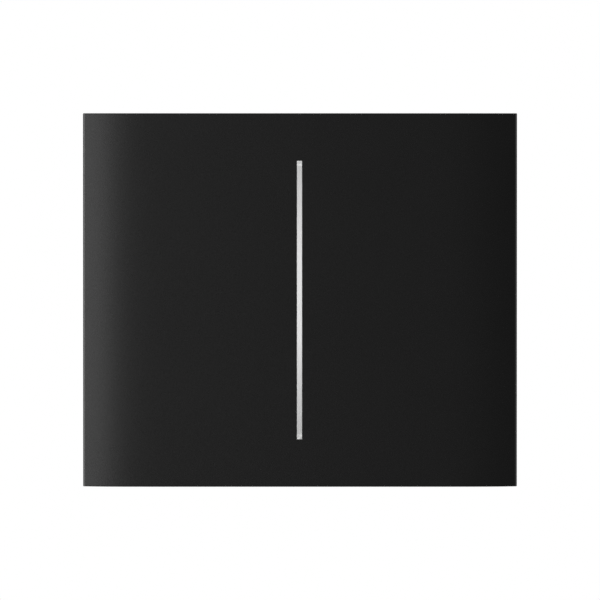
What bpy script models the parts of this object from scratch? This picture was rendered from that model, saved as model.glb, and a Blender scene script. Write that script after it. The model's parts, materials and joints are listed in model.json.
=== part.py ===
"""Wide rocker wall switch for a three-module wall frame, two poles, with a lit centre line.

Frame: metres, +Z up, +X to the right, the key faces -Y. The origin is the middle of the plane where the
front frame's flange rests on the wall frame. The switch rests in its off state, lower half of the key in.
"""

from math import cos, pi, radians, sin, tan

import bmesh
import bpy
from mathutils import Matrix, Vector

# ---- Driving sizes, in metres ----

SEAT = 0.0003  # gap kept between pieces that rest on each other
RUN = 0.0001  # radial clearance of a turning or sliding piece
SNUG = 0.0001  # gap round a riveted or soldered piece

# Wall frame that the switch snaps into
MODULE_PITCH = 0.0225
MODULES = 3
WALL_OPENING = 0.0450  # height of its opening
WALL_LIP = 0.0022  # thickness of its edge

# Key, the black cap that the finger meets
KEY_GAP = 0.00005  # between the key and each side of its opening in the cover plate
KEY_HEIGHT = 0.0581
KEY_REACH = 0.0125  # from the seating plane to the key's face
KEY_CLEARANCE = 0.0009  # from the pressed skirt to the flange
KEY_PLATE = 0.0020
KEY_SKIRT = 0.0016
DRAFT_MARGIN = radians(0.2)  # the skirts slope this much more than the key leans
ROLL_WIDTH = 0.0100  # the face rolls back over this width at its left and right ends
ROLL_DROP = 0.0008
ROLL_STEPS = 6

# Clips that hold the key on its carrier
CLIP_ACROSS = 0.0160
CLIP_UP = 0.0190
CLIP_WIDTH = 0.0050
CLIP_THICK = 0.0014
CLIP_NOSE = 0.0008
CLIP_HOOK = 0.0011  # length of the hook behind the carrier's plate
CLIP_FLEX = 0.0009  # room for the leg to bend aside

# Light bar in the key's centre line
BAR_WIDTH = 0.00084
BAR_LENGTH = 0.0433
BAR_PROUD = 0.00003
BAR_FIT = 0.00006
BAR_FLANGE_WIDTH = 0.0036
BAR_FLANGE_THICK = 0.0007
BAR_FLANGE_REACH = 0.0008  # the flange is this much longer than the bar at each end
BAR_POCKET = 0.0010
LIGHT_PIPE_RADIUS = 0.0018
LIGHT_GAP = 0.0006  # from the light pipe to the lamp

# Carrier, the rocking frame behind the key
CARRIER_MARGIN = 0.0021  # from the carrier to the key's skirts at its sides
CARRIER_HEIGHT = 0.0460
CARRIER_PLATE = 0.0018
CARRIER_RIM = 0.0015
CARRIER_RIM_WALL = 0.0012
ROCK_SWING = radians(6.0)  # whole travel of the key, half to each side of level
PIVOT_REACH = 0.0024  # from the flange's front face to the rocking axis
TRUNNION_RADIUS = 0.0015
TRUNNION_PAST = 0.0002  # the trunnion shows this much past its ear
CHEEK_THICK = 0.0022
CHEEK_WIDTH = 0.0060
CHEEK_BOSS_RADIUS = 0.0020

# Toggle: a sprung plunger in a hollow post, one for each pole
POLE_OFFSET = 0.0100
POST_RADIUS = 0.0028
POST_LENGTH = 0.0129
PLUNGER_RADIUS = 0.0015
PLUNGER_GUIDED = 0.0055  # length of plunger inside its post
NOSE_RADIUS = 0.0012
NOSE_GAP = 0.0003
SPRING_WIRE = 0.0004
SPRING_TURNS = 7

# Front frame, which snaps into the wall frame
FLANGE_GAP = 0.00015  # between the flange and each side of its modules' width
FLANGE_HEIGHT = 0.0480
FLANGE_THICK = 0.0030  # over its seating pads
PAD_HEIGHT = 0.0003
PAD_WIDTH = 0.0050
PAD_LENGTH = 0.0120
PAD_UP = 0.0150
EAR_THICK = 0.0024
EAR_WIDTH = 0.0064
EAR_WALL = 0.0008
STOP_ACROSS = 0.0180
STOP_WIDTH = 0.0060
STOP_HEIGHT = 0.0040
TONGUE_ACROSS = 0.0240
TONGUE_WIDTH = 0.0060
TONGUE_THICK = 0.0012
TONGUE_LENGTH = 0.0085
TONGUE_SLACK = 0.0005  # gap between tongue and opening
TOOTH_REACH = 0.0007  # how far the tooth reaches past the opening's edge
TOOTH_RAMP = 0.0038
FRAME_SCREW_UP = 0.0160
FRAME_SCREW_RADIUS = 0.0013
FRAME_SCREW_LENGTH = 0.0100
FRAME_SCREW_HEAD_RADIUS = 0.0026
FRAME_SCREW_HEAD = 0.0013
DRIVE_SLOT_WIDTH = 0.0008
DRIVE_SLOT_DEPTH = 0.0007

# Locator lamp behind the centre line
LAMP_BOARD_WIDTH = 0.0090
LAMP_BOARD_HEIGHT = 0.0140
LAMP_BOARD_THICK = 0.0010
LAMP_LEDGE = 0.0014  # the housing holds the board along its upper and lower edges
LAMP_ROOM = 0.0040  # depth kept free behind the lamp
LAMP_RADIUS = 0.0015
LAMP_LENGTH = 0.0034
LAMP_RIM = 0.0004
RESISTOR_WIDTH = 0.0032
RESISTOR_HEIGHT = 0.0016
RESISTOR_THICK = 0.0006
RESISTOR_UP = 0.0040
LEAD_RADIUS = 0.0003
LEAD_ACROSS = 0.0032
LEAD_DROP = 0.0030
LEAD_END_DROP = 0.0016

# Moving contact, a see-saw lever for each pole
LEVER_REACH = 0.0122  # from the seating plane to the lever's axis
LEVER_SWING = radians(19.2)
LEVER_WIDTH = 0.0050
LEVER_THICK = 0.0009
LEVER_ROOF = radians(12.0)  # slope of both arms away from the ridge
LEVER_KNEE = 0.0034
LEVER_CLEARANCE = 0.0005  # from the lower arm's end to the chamber's wall
LEVER_PIN_RADIUS = 0.0006
LEVER_PIN_PAST = 0.0004  # the pin shows this much past its ear
CONTACT_MARGIN = 0.0001  # the contact's edge reaches this much past the arm's end
CONTACT_RADIUS = 0.0015
CONTACT_HEIGHT = 0.0007
CONTACT_SHANK = 0.0006
CONTACT_CLOSED = 0.0002

# Brass strips, cages and screws of the four terminals
STRIP_WIDTH = 0.0050
STRIP_THICK = 0.0008
STRIP_SHORT = 0.0004  # the strip ends this much inside the cage's mouth
STRIP_SHOULDER = 0.0008  # strip left beyond the fixed contact
NOTCH_HALF = radians(35.0)
BRACKET_EAR_THICK = 0.0008
BRACKET_EAR_HEIGHT = 0.0064
BRACKET_EAR_PAST = 0.0013  # the ears reach this far in front of the lever's axis
CAGE_LENGTH = 0.0070
CAGE_WALL = 0.0010
CAGE_COLLAR = 0.0020
WIRE_SPACE = 0.0047
CAGE_TRAVEL = 0.0024
CLAMP_RADIUS = 0.0017
CLAMP_HEAD_RADIUS = 0.0025
CLAMP_HEAD = 0.0018
CLAMP_SLOT_DEPTH = 0.0009

# Housing behind the wall frame
HOUSING_GAP = 0.0005  # between the housing and the wall frame's opening, above and below
HOUSING_WALL = 0.0016
HOUSING_SPARE = 0.0005  # room beside the terminals, on top of their clearance
HOUSING_MOUTH = 0.0011  # thickness left round the narrow mouth of a screw well
MOUTH_RADIUS = 0.0022
POLE_BARRIER = 0.0016
PARTITION = 0.0012
CORING_WIDTH = 0.0064
CORING_HEIGHT = 0.0054
CORING_DEPTH = 0.0100

SIDES = 24  # facets of a round piece
OVER = 0.0005  # how far a cutter or a joined shape runs past the face it meets

# ---- Places worked out from the sizes, as y on the axis that runs into the wall ----

rest_tilt = ROCK_SWING / 2
rest_lever = -LEVER_SWING / 2
flange_front = -FLANGE_THICK
pivot = flange_front - PIVOT_REACH
flange_back = -PAD_HEIGHT

key_width = MODULES * MODULE_PITCH - 2 * KEY_GAP
key_face = -KEY_REACH
key_inner = key_face + KEY_PLATE
pressed_edge = flange_front - KEY_CLEARANCE - FLANGE_HEIGHT / 2 * sin(rest_tilt)
key_back = pivot + (pressed_edge - pivot) / cos(rest_tilt)
key_draft = rest_tilt + DRAFT_MARGIN

carrier_front = key_inner + SEAT
carrier_back = carrier_front + CARRIER_PLATE
rim_back = carrier_back + CARRIER_RIM
post_end = carrier_back + POST_LENGTH
bore_radius = PLUNGER_RADIUS + 2 * RUN
bore_bottom = carrier_back + SEAT
plunger_end = post_end - PLUNGER_GUIDED

board_back = flange_back
board_front = board_back - LAMP_BOARD_THICK
lamp_base = board_front - SNUG
lamp_tip = lamp_base - LAMP_LENGTH

lever_axis = LEVER_REACH
knee_back = LEVER_KNEE * tan(LEVER_ROOF)

# Closed, the lower arm is upright, so the fixed contact's place follows from the knee's.
closed_arm = lever_axis + knee_back * cos(LEVER_SWING / 2) + LEVER_KNEE * sin(LEVER_SWING / 2)
closed_face = closed_arm + LEVER_THICK / 2 + SNUG + CONTACT_HEIGHT
fixed_face = closed_face + CONTACT_CLOSED
strip_front = fixed_face + CONTACT_HEIGHT + SNUG
strip_back = strip_front + STRIP_THICK

cage_front = strip_front - WIRE_SPACE
collar_front = strip_back + SEAT
clamp_tip = strip_back + SEAT / 2
clamp_head = collar_front + CAGE_COLLAR + CAGE_TRAVEL + SEAT
well_start = clamp_head - SEAT / 2
well_end = clamp_head + CLAMP_HEAD + SEAT / 2
housing_front = flange_back + SEAT
housing_back = well_end + HOUSING_MOUTH
chamber_back = housing_back - HOUSING_WALL

# ---- Places worked out across and up ----

flange_width = MODULES * MODULE_PITCH - 2 * FLANGE_GAP
carrier_width = key_width - 2 * KEY_SKIRT - 2 * CARRIER_MARGIN
ear_outer = carrier_width / 2 - CARRIER_RIM_WALL - TRUNNION_PAST - 2 * SEAT
ear_inner = ear_outer - EAR_THICK
cheek_outer = ear_inner - SEAT

cage_width = STRIP_WIDTH + 2 * RUN + 2 * CAGE_WALL
terminal_half = cage_width / 2 + SEAT
housing_width = 2 * (POLE_OFFSET + terminal_half + HOUSING_SPARE + HOUSING_WALL)
housing_height = WALL_OPENING - 2 * HOUSING_GAP
terminal_high = housing_height / 2 - HOUSING_WALL
terminal_up = terminal_high - HOUSING_SPARE - SEAT - CAGE_LENGTH / 2
terminal_low = terminal_up - CAGE_LENGTH / 2 - SEAT
chamber_top = terminal_low - PARTITION
lever_arm = chamber_top - LEVER_CLEARANCE
contact_drop = lever_arm + CONTACT_MARGIN - CONTACT_RADIUS
strip_start = contact_drop - CONTACT_RADIUS - STRIP_SHOULDER
strip_end = terminal_up + CAGE_LENGTH / 2 - STRIP_SHORT
bracket_ear_inner = LEVER_WIDTH / 2 + SEAT
bracket_ear_outer = bracket_ear_inner + BRACKET_EAR_THICK


# ---- Scene and shape helpers ----


def clear_scene():
    for obj in list(bpy.data.objects):
        bpy.data.objects.remove(obj)


def new_collection(name):
    collection = bpy.data.collections.new(name)
    bpy.context.scene.collection.children.link(collection)
    return collection


def link(name, data):
    obj = bpy.data.objects.new(name, data)
    parts.objects.link(obj)
    return obj


def across(side, inner, outer):
    """The span between two distances from the middle, on one side or the other."""
    return (inner, outer) if side > 0 else (-outer, -inner)


def block(name, x, y, z):
    """A box between two values on each axis."""
    bm = bmesh.new()
    bmesh.ops.create_cube(bm, size=1.0)
    bmesh.ops.scale(bm, vec=[high - low for low, high in (x, y, z)], verts=bm.verts)
    bmesh.ops.translate(bm, vec=[(low + high) / 2 for low, high in (x, y, z)], verts=bm.verts)
    mesh = bpy.data.meshes.new(name)
    bm.to_mesh(mesh)
    bm.free()
    return link(name, mesh)


def rod(name, radius, centre, span, axis="Y", sides=SIDES):
    """A cylinder along X or Y, from span[0] to span[1]. centre holds the other two coordinates."""
    turn = Matrix.Rotation(pi / 2, 3, "Y") if axis == "X" else Matrix.Rotation(-pi / 2, 3, "X")
    middle = list(centre)
    middle.insert("XYZ".index(axis), (span[0] + span[1]) / 2)
    length = span[1] - span[0]
    bm = bmesh.new()
    bmesh.ops.create_cone(bm, cap_ends=True, segments=sides, radius1=radius, radius2=radius, depth=length)
    bmesh.ops.rotate(bm, matrix=turn, verts=bm.verts)
    bmesh.ops.translate(bm, vec=middle, verts=bm.verts)
    mesh = bpy.data.meshes.new(name)
    bm.to_mesh(mesh)
    bm.free()
    obj = link(name, mesh)
    smooth(obj)
    return obj


def mesh_from_curve(name, curve, turn):
    """The curve's evaluated shape as a welded mesh object, with its points turned by a matrix."""
    guide = link(name + "_curve", curve)
    bpy.context.view_layer.update()
    mesh = bpy.data.meshes.new_from_object(guide.evaluated_get(bpy.context.evaluated_depsgraph_get()))
    bpy.data.objects.remove(guide)
    bm = bmesh.new()
    bm.from_mesh(mesh)
    bmesh.ops.remove_doubles(bm, verts=bm.verts, dist=0.000001)
    bmesh.ops.transform(bm, matrix=turn, verts=bm.verts)
    bmesh.ops.recalc_face_normals(bm, faces=bm.faces)
    bm.to_mesh(mesh)
    bm.free()
    mesh.materials.clear()
    return link(name, mesh)


def slab(name, outline, span, axis):
    """A flat outline thickened from span[0] to span[1]: (y, z) points along X, or (x, y) along Z."""
    curve = bpy.data.curves.new(name, "CURVE")
    curve.dimensions = "2D"
    curve.fill_mode = "BOTH"
    curve.extrude = (span[1] - span[0]) / 2
    spline = curve.splines.new("POLY")
    spline.points.add(len(outline) - 1)
    for point, (a, b) in zip(spline.points, outline):
        point.co = (a, b, 0, 1)
    spline.use_cyclic_u = True
    middle = Matrix.Translation((0, 0, (span[0] + span[1]) / 2))
    upright = Matrix(((0, 0, 1, 0), (1, 0, 0, 0), (0, 1, 0, 0), (0, 0, 0, 1)))
    return mesh_from_curve(name, curve, upright @ middle if axis == "X" else middle)


def turned(name, profile, centre):
    """A profile of (radius, y) points turned round the line along Y through centre (x, z)."""
    mesh = bpy.data.meshes.new(name)
    bm = bmesh.new()
    points = [bm.verts.new((radius, y, 0)) for radius, y in profile]
    for a, b in zip(points, points[1:]):
        bm.edges.new((a, b))
    bm.to_mesh(mesh)
    bm.free()
    obj = link(name, mesh)
    screw = obj.modifiers.new("turn", "SCREW")
    screw.axis = "Y"
    screw.steps = screw.render_steps = SIDES
    screw.use_merge_vertices = True
    screw.merge_threshold = 0.000002
    obj.location = (centre[0], 0, centre[1])
    smooth(obj)
    return obj


def smooth(obj):
    obj.data.shade_smooth()
    obj.data.set_sharp_from_angle(angle=radians(35))


def combine(target, operation, others):
    for other in others:
        modifier = target.modifiers.new(f"{operation.lower()}_{other.name}", "BOOLEAN")
        modifier.operation = operation
        modifier.object = other
        parts.objects.unlink(other)
        cutters.objects.link(other)
        other.hide_render = True
        other.display_type = "WIRE"
    return target


def cut(target, *others):
    return combine(target, "DIFFERENCE", others)


def join(target, *others):
    return combine(target, "UNION", others)


def hang(axis, *pieces):
    """Parents pieces, drawn level, to an empty on their joint's axis, with their modifiers' helpers."""
    for piece in pieces:
        helpers = [m.object for m in piece.modifiers if m.type == "BOOLEAN"]
        for obj in (piece, *helpers):
            if obj.parent is None:
                obj.parent = axis
                obj.matrix_parent_inverse = Matrix.Translation(-Vector(axis.location))
        for helper in helpers:
            hang(axis, helper)


def axis_empty(name, location, tilt):
    empty = link(name, None)
    empty.location = location
    empty.rotation_euler = (tilt, 0, 0)
    empty.empty_display_size = PIVOT_REACH
    return empty


def finish(obj, material):
    obj.data.materials.append(material)
    return obj


def material(name, colour, roughness, metallic=0.0, transmission=0.0):
    made = bpy.data.materials.new(name)
    made.use_nodes = True
    shader = made.node_tree.nodes["Principled BSDF"]
    shader.inputs["Base Color"].default_value = (*colour, 1)
    shader.inputs["Roughness"].default_value = roughness
    shader.inputs["Metallic"].default_value = metallic
    shader.inputs["Transmission Weight"].default_value = transmission
    made.diffuse_color = (*colour, 1)
    return made


# ---- Key: cap, light bar and carrier, drawn level ----


def crowned_outline(half_width, front, back, drop):
    """The key's outline from above: flat in the middle, rolled back at both ends."""
    left = []
    for step in range(ROLL_STEPS + 1):
        share = 1 - step / ROLL_STEPS
        left.append((-half_width + ROLL_WIDTH * (1 - share), front + drop * share**2))
    right = [(-x, y) for x, y in reversed(left)]
    return [(-half_width, back), *left, *right, (half_width, back)]


def draft_walls(obj):
    """Draws the skirts' back edge inwards, so that they slope as a moulded cap's do."""
    inward = (key_back - key_face) * tan(key_draft)
    for vertex in obj.data.vertices:
        if vertex.co.y > key_back - SEAT:
            vertex.co.x *= 1 - 2 * inward / key_width
            vertex.co.z *= 1 - 2 * inward / KEY_HEIGHT


def clip_leg(name, middle, up):
    """A leg with a catch on its outer side, which hooks behind the carrier's plate."""
    start = key_inner - OVER
    nose = carrier_back + SEAT
    tip = nose + CLIP_HOOK
    inner, outer = up - CLIP_THICK / 2, up + CLIP_THICK / 2
    hook = [(tip, outer), (nose, outer + CLIP_NOSE), (nose, outer)]
    side = [(start, inner), (tip, inner), *hook, (start, outer)]
    return slab(name, side, (middle - CLIP_WIDTH / 2, middle + CLIP_WIDTH / 2), "X")


def mirrored_up(obj):
    """The same shape on the other side of the level plane z = 0."""
    bm = bmesh.new()
    bm.from_mesh(obj.data)
    bmesh.ops.scale(bm, vec=(1, 1, -1), verts=bm.verts)
    bmesh.ops.recalc_face_normals(bm, faces=bm.faces)
    bm.to_mesh(obj.data)
    bm.free()
    return obj


def make_key_cover():
    outline = crowned_outline(key_width / 2, key_face, key_back, ROLL_DROP)
    cover = slab("key_cover", outline, (-KEY_HEIGHT / 2, KEY_HEIGHT / 2), "Z")
    draft_walls(cover)
    half_x, half_z = key_width / 2 - KEY_SKIRT, KEY_HEIGHT / 2 - KEY_SKIRT
    cavity = block("key_cavity", (-half_x, half_x), (key_inner, key_back + OVER), (-half_z, half_z))
    slot_x, slot_z = BAR_WIDTH / 2 + BAR_FIT, BAR_LENGTH / 2 + BAR_FIT
    slot = block("bar_slot", (-slot_x, slot_x), (key_face - OVER, key_inner + OVER), (-slot_z, slot_z))
    pocket_x = BAR_FLANGE_WIDTH / 2 + SEAT
    pocket_z = BAR_LENGTH / 2 + BAR_FLANGE_REACH + SEAT
    pocket = block(
        "bar_pocket", (-pocket_x, pocket_x), (key_inner - BAR_POCKET, key_inner + OVER), (-pocket_z, pocket_z)
    )
    cut(cover, cavity, slot, pocket)
    for side in (-1, 1):
        word = "left" if side < 0 else "right"
        upper = clip_leg(f"clip_upper_{word}", side * CLIP_ACROSS, CLIP_UP)
        lower = mirrored_up(clip_leg(f"clip_lower_{word}", side * CLIP_ACROSS, CLIP_UP))
        join(cover, upper, lower)
    return finish(cover, black_plastic)


def make_light_bar():
    front = key_inner - BAR_POCKET + SEAT
    flange_x, flange_z = BAR_FLANGE_WIDTH / 2, BAR_LENGTH / 2 + BAR_FLANGE_REACH
    bar = block("light_bar", (-flange_x, flange_x), (front, front + BAR_FLANGE_THICK), (-flange_z, flange_z))
    line = block(
        "bar_line",
        (-BAR_WIDTH / 2, BAR_WIDTH / 2),
        (key_face - BAR_PROUD, front + BAR_FLANGE_THICK / 2),
        (-BAR_LENGTH / 2, BAR_LENGTH / 2),
    )
    pipe_y = (front + BAR_FLANGE_THICK / 2, lamp_tip - LIGHT_GAP)
    pipe = rod("light_pipe", LIGHT_PIPE_RADIUS, (0, 0), pipe_y, sides=16)
    return finish(join(bar, line, pipe), light_plastic)


def make_carrier():
    half_x, half_z = carrier_width / 2, CARRIER_HEIGHT / 2
    carrier = block("key_carrier", (-half_x, half_x), (carrier_front, rim_back), (-half_z, half_z))
    inner_x, inner_z = half_x - CARRIER_RIM_WALL, half_z - CARRIER_RIM_WALL
    tray = block("carrier_tray", (-inner_x, inner_x), (carrier_back, rim_back + OVER), (-inner_z, inner_z))
    through = (carrier_front - OVER, carrier_back + OVER)
    window = rod("light_window", LIGHT_PIPE_RADIUS + SEAT, (0, 0), through, sides=16)
    cut(carrier, tray, window)
    for side in (-1, 1):
        word = "left" if side < 0 else "right"
        cut_clip_windows(carrier, side, word)
        cut_ear_window(carrier, side, word)
        make_trunnion(carrier, side, word)
        make_post(carrier, side, word)
    return finish(carrier, grey_plastic)


def cut_clip_windows(carrier, side, word):
    """Windows that the clips pass through, and room in the rim for their hooks."""
    half = CLIP_WIDTH / 2 + SEAT
    x = (side * CLIP_ACROSS - half, side * CLIP_ACROSS + half)
    low = CLIP_UP - CLIP_THICK / 2 - CLIP_FLEX
    high = CLIP_UP + CLIP_THICK / 2 + SEAT
    through = (carrier_front - OVER, carrier_back + OVER)
    behind = (carrier_back + SEAT / 2, rim_back + OVER)
    for up, place in ((1, f"upper_{word}"), (-1, f"lower_{word}")):
        window = block(f"window_{place}", x, through, across(up, low, high))
        hook_room = block(f"hook_room_{place}", x, behind, across(up, low, high + CLIP_NOSE))
        cut(carrier, window, hook_room)


def cut_ear_window(carrier, side, word):
    """Room in the plate for the front end of the ear that bears the trunnion."""
    x = across(side, ear_inner - SEAT, ear_outer + SEAT)
    half_z = EAR_WIDTH / 2 + SEAT - pivot * sin(rest_tilt)
    cut(carrier, block(f"ear_window_{word}", x, (carrier_front - OVER, carrier_back + OVER), (-half_z, half_z)))


def make_trunnion(carrier, side, word):
    x = across(side, cheek_outer - CHEEK_THICK, cheek_outer)
    cheek = block(f"cheek_{word}", x, (carrier_back - OVER, pivot), (-CHEEK_WIDTH / 2, CHEEK_WIDTH / 2))
    boss = rod(f"cheek_boss_{word}", CHEEK_BOSS_RADIUS, (pivot, 0), x, "X")
    pin_x = across(side, cheek_outer - OVER, ear_outer + TRUNNION_PAST)
    pin = rod(f"trunnion_{word}", TRUNNION_RADIUS, (pivot, 0), pin_x, "X")
    join(carrier, cheek, boss, pin)


def make_post(carrier, side, word):
    centre = (side * POLE_OFFSET, 0)
    post = rod(f"toggle_post_{word}", POST_RADIUS, centre, (carrier_back - OVER, post_end))
    bore = rod(f"post_bore_{word}", bore_radius, centre, (bore_bottom, post_end + OVER))
    join(carrier, post)
    cut(carrier, bore)


def nose_centre():
    """Distance from the rocking axis to the middle of the plunger's round nose. At rest the nose stands
    its gap off the lever's upper arm."""
    half = LEVER_SWING / 2
    ridge = Vector((lever_axis - LEVER_THICK / 2 * cos(half), LEVER_THICK / 2 * sin(half)))
    normal = Vector((-cos(half + LEVER_ROOF), sin(half + LEVER_ROOF)))
    along = Vector((cos(rest_tilt), sin(rest_tilt)))
    start = Vector((pivot, 0))
    return (NOSE_RADIUS + NOSE_GAP - (start - ridge).dot(normal)) / along.dot(normal)


def make_plunger(side, word):
    centre_y = pivot + nose_centre()
    steps = 5
    nose = [
        (NOSE_RADIUS * sin(pi / 2 * step / steps), centre_y + NOSE_RADIUS * cos(pi / 2 * step / steps))
        for step in range(steps + 1)
    ]
    shoulder = [(NOSE_RADIUS, centre_y - NOSE_RADIUS), (PLUNGER_RADIUS, centre_y - 2 * NOSE_RADIUS)]
    profile = [*nose, *shoulder, (PLUNGER_RADIUS, plunger_end), (0, plunger_end)]
    plunger = turned(f"toggle_plunger_{word}", profile, (side * POLE_OFFSET, 0))
    return finish(plunger, white_plastic)


def make_toggle_spring(side, word):
    """A coil between the bottom of the post's bore and the plunger's end."""
    start = bore_bottom + SPRING_WIRE / 2 + SEAT / 2
    length = plunger_end - SPRING_WIRE / 2 - SEAT / 2 - start
    radius = PLUNGER_RADIUS - SPRING_WIRE / 2
    points_per_turn = 10
    count = SPRING_TURNS * points_per_turn
    curve = bpy.data.curves.new(f"toggle_spring_{word}", "CURVE")
    curve.dimensions = "3D"
    curve.bevel_depth = SPRING_WIRE / 2
    curve.bevel_resolution = 1
    curve.use_fill_caps = True
    spline = curve.splines.new("POLY")
    spline.points.add(count)
    for step, point in enumerate(spline.points):
        angle = 2 * pi * step / points_per_turn
        point.co = (
            side * POLE_OFFSET + radius * cos(angle),
            start + length * step / count,
            radius * sin(angle),
            1,
        )
    spring = mesh_from_curve(f"toggle_spring_{word}", curve, Matrix.Identity(4))
    smooth(spring)
    return finish(spring, spring_steel)


# ---- Front frame, its screws and the locator lamp ----


def make_front_frame():
    half_x, half_z = flange_width / 2, FLANGE_HEIGHT / 2
    frame = block("front_frame", (-half_x, half_x), (flange_front, flange_back), (-half_z, half_z))
    cut_lamp_seat(frame)
    for side in (-1, 1):
        word = "left" if side < 0 else "right"
        cut_post_slot(frame, side, word)
        make_ear(frame, side, word)
        for up in (-1, 1):
            place = f"{'lower' if up < 0 else 'upper'}_{word}"
            make_pad(frame, side, up, place)
            make_stop(frame, side, up, place)
            make_tongue(frame, side, up, place)
    for up in (-1, 1):
        cut_screw_seat(frame, up)
    return finish(frame, grey_plastic)


def cut_lamp_seat(frame):
    half_x, half_z = LAMP_BOARD_WIDTH / 2 + SEAT, LAMP_BOARD_HEIGHT / 2 + SEAT
    pocket = block("lamp_pocket", (-half_x, half_x), (board_front - SEAT, OVER), (-half_z, half_z))
    hole = rod("lamp_hole", LAMP_RADIUS + LAMP_RIM + SEAT, (0, 0), (flange_front - OVER, OVER))
    cut(frame, pocket, hole)


def cut_post_slot(frame, side, word):
    half_x = POST_RADIUS + 2 * SEAT
    half_z = POST_RADIUS - pivot * sin(rest_tilt) + 2 * SEAT
    x = (side * POLE_OFFSET - half_x, side * POLE_OFFSET + half_x)
    cut(frame, block(f"post_slot_{word}", x, (flange_front - OVER, OVER), (-half_z, half_z)))


def make_ear(frame, side, word):
    """A bearing ear with the hole for the carrier's trunnion."""
    hole_radius = TRUNNION_RADIUS + RUN
    x = across(side, ear_inner, ear_outer)
    y = (pivot - hole_radius - EAR_WALL, flange_front + OVER)
    ear = block(f"ear_{word}", x, y, (-EAR_WIDTH / 2, EAR_WIDTH / 2))
    hole = rod(f"ear_hole_{word}", hole_radius, (pivot, 0), (x[0] - OVER, x[1] + OVER), "X")
    join(frame, ear)
    cut(frame, hole)


def make_pad(frame, side, up, place):
    """A raised pad that rests on the wall frame."""
    outer = flange_width / 2 - PAD_HEIGHT
    x = across(side, outer - PAD_WIDTH, outer)
    z = (up * PAD_UP - PAD_LENGTH / 2, up * PAD_UP + PAD_LENGTH / 2)
    join(frame, block(f"pad_{place}", x, (flange_back - OVER, 0), z))


def make_stop(frame, side, up, place):
    """A pad that the end of the carrier's rim meets when its travel is over."""
    end = CARRIER_HEIGHT / 2
    rim_there = pivot + (rim_back - pivot) * cos(rest_tilt) + end * sin(rest_tilt)
    z = across(up, end - STOP_HEIGHT, end)
    x = (side * STOP_ACROSS - STOP_WIDTH / 2, side * STOP_ACROSS + STOP_WIDTH / 2)
    join(frame, block(f"stop_{place}", x, (rim_there + SEAT, flange_front + OVER), z))


def make_tongue(frame, side, up, place):
    """A springy tongue whose tooth snaps behind the wall frame's edge."""
    outer = WALL_OPENING / 2 - TONGUE_SLACK
    inner = outer - TONGUE_THICK
    tooth = WALL_OPENING / 2 + TOOTH_REACH
    outline = [
        (flange_back - OVER, inner),
        (TONGUE_LENGTH, inner),
        (TONGUE_LENGTH, outer - TONGUE_THICK / 2),
        (WALL_LIP + TOOTH_RAMP, outer),
        (WALL_LIP, tooth),
        (WALL_LIP, outer),
        (flange_back - OVER, outer),
    ]
    x = (side * TONGUE_ACROSS - TONGUE_WIDTH / 2, side * TONGUE_ACROSS + TONGUE_WIDTH / 2)
    tongue = slab(f"tongue_{place}", outline, x, "X")
    join(frame, mirrored_up(tongue) if up < 0 else tongue)


def cut_screw_seat(frame, up):
    word = "lower" if up < 0 else "upper"
    centre = (0, up * FRAME_SCREW_UP)
    hole = rod(f"screw_hole_{word}", FRAME_SCREW_RADIUS + SEAT, centre, (flange_front - OVER, OVER))
    sink_y = (flange_front - OVER, flange_front + FRAME_SCREW_HEAD + SEAT)
    sink = rod(f"screw_sink_{word}", FRAME_SCREW_HEAD_RADIUS + SEAT, centre, sink_y)
    cut(frame, hole, sink)


def make_frame_screw(up, word):
    """A pan-head screw with a straight slot, from the front into the housing."""
    centre = (0, up * FRAME_SCREW_UP)
    head = flange_front + FRAME_SCREW_HEAD
    screw = rod(f"frame_screw_{word}", FRAME_SCREW_HEAD_RADIUS, centre, (flange_front, head))
    shank_y = (head - OVER, head + FRAME_SCREW_LENGTH)
    shank = rod(f"screw_shank_{word}", FRAME_SCREW_RADIUS, centre, shank_y)
    slot_x = (-FRAME_SCREW_HEAD_RADIUS - OVER, FRAME_SCREW_HEAD_RADIUS + OVER)
    slot_y = (flange_front - OVER, flange_front + DRIVE_SLOT_DEPTH)
    slot_z = (centre[1] - DRIVE_SLOT_WIDTH / 2, centre[1] + DRIVE_SLOT_WIDTH / 2)
    slot = block(f"screw_slot_{word}", slot_x, slot_y, slot_z)
    return finish(cut(join(screw, shank), slot), zinc_steel)


def make_lamp_board():
    half_x, half_z = LAMP_BOARD_WIDTH / 2, LAMP_BOARD_HEIGHT / 2
    board = block("lamp_board", (-half_x, half_x), (board_front, board_back), (-half_z, half_z))
    return finish(board, board_green)


def make_lamp():
    """A dome-ended lamp on the board's front, which shines into the light pipe."""
    dome = lamp_tip + LAMP_RADIUS
    rim = LAMP_RADIUS + LAMP_RIM
    steps = 4
    arc = [
        (LAMP_RADIUS * cos(pi / 2 * step / steps), dome - LAMP_RADIUS * sin(pi / 2 * step / steps))
        for step in range(steps + 1)
    ]
    arc[-1] = (0, lamp_tip)
    rim_front = lamp_base - LAMP_RIM
    profile = [(0, lamp_base), (rim, lamp_base), (rim, rim_front), (LAMP_RADIUS, rim_front), *arc]
    return finish(turned("locator_lamp", profile, (0, 0)), lamp_resin)


def make_resistor():
    y = (board_back + SNUG, board_back + SNUG + RESISTOR_THICK)
    half_x, half_z = RESISTOR_WIDTH / 2, RESISTOR_HEIGHT / 2
    chip = block("lamp_resistor", (-half_x, half_x), y, (RESISTOR_UP - half_z, RESISTOR_UP + half_z))
    return finish(chip, black_plastic)


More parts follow.
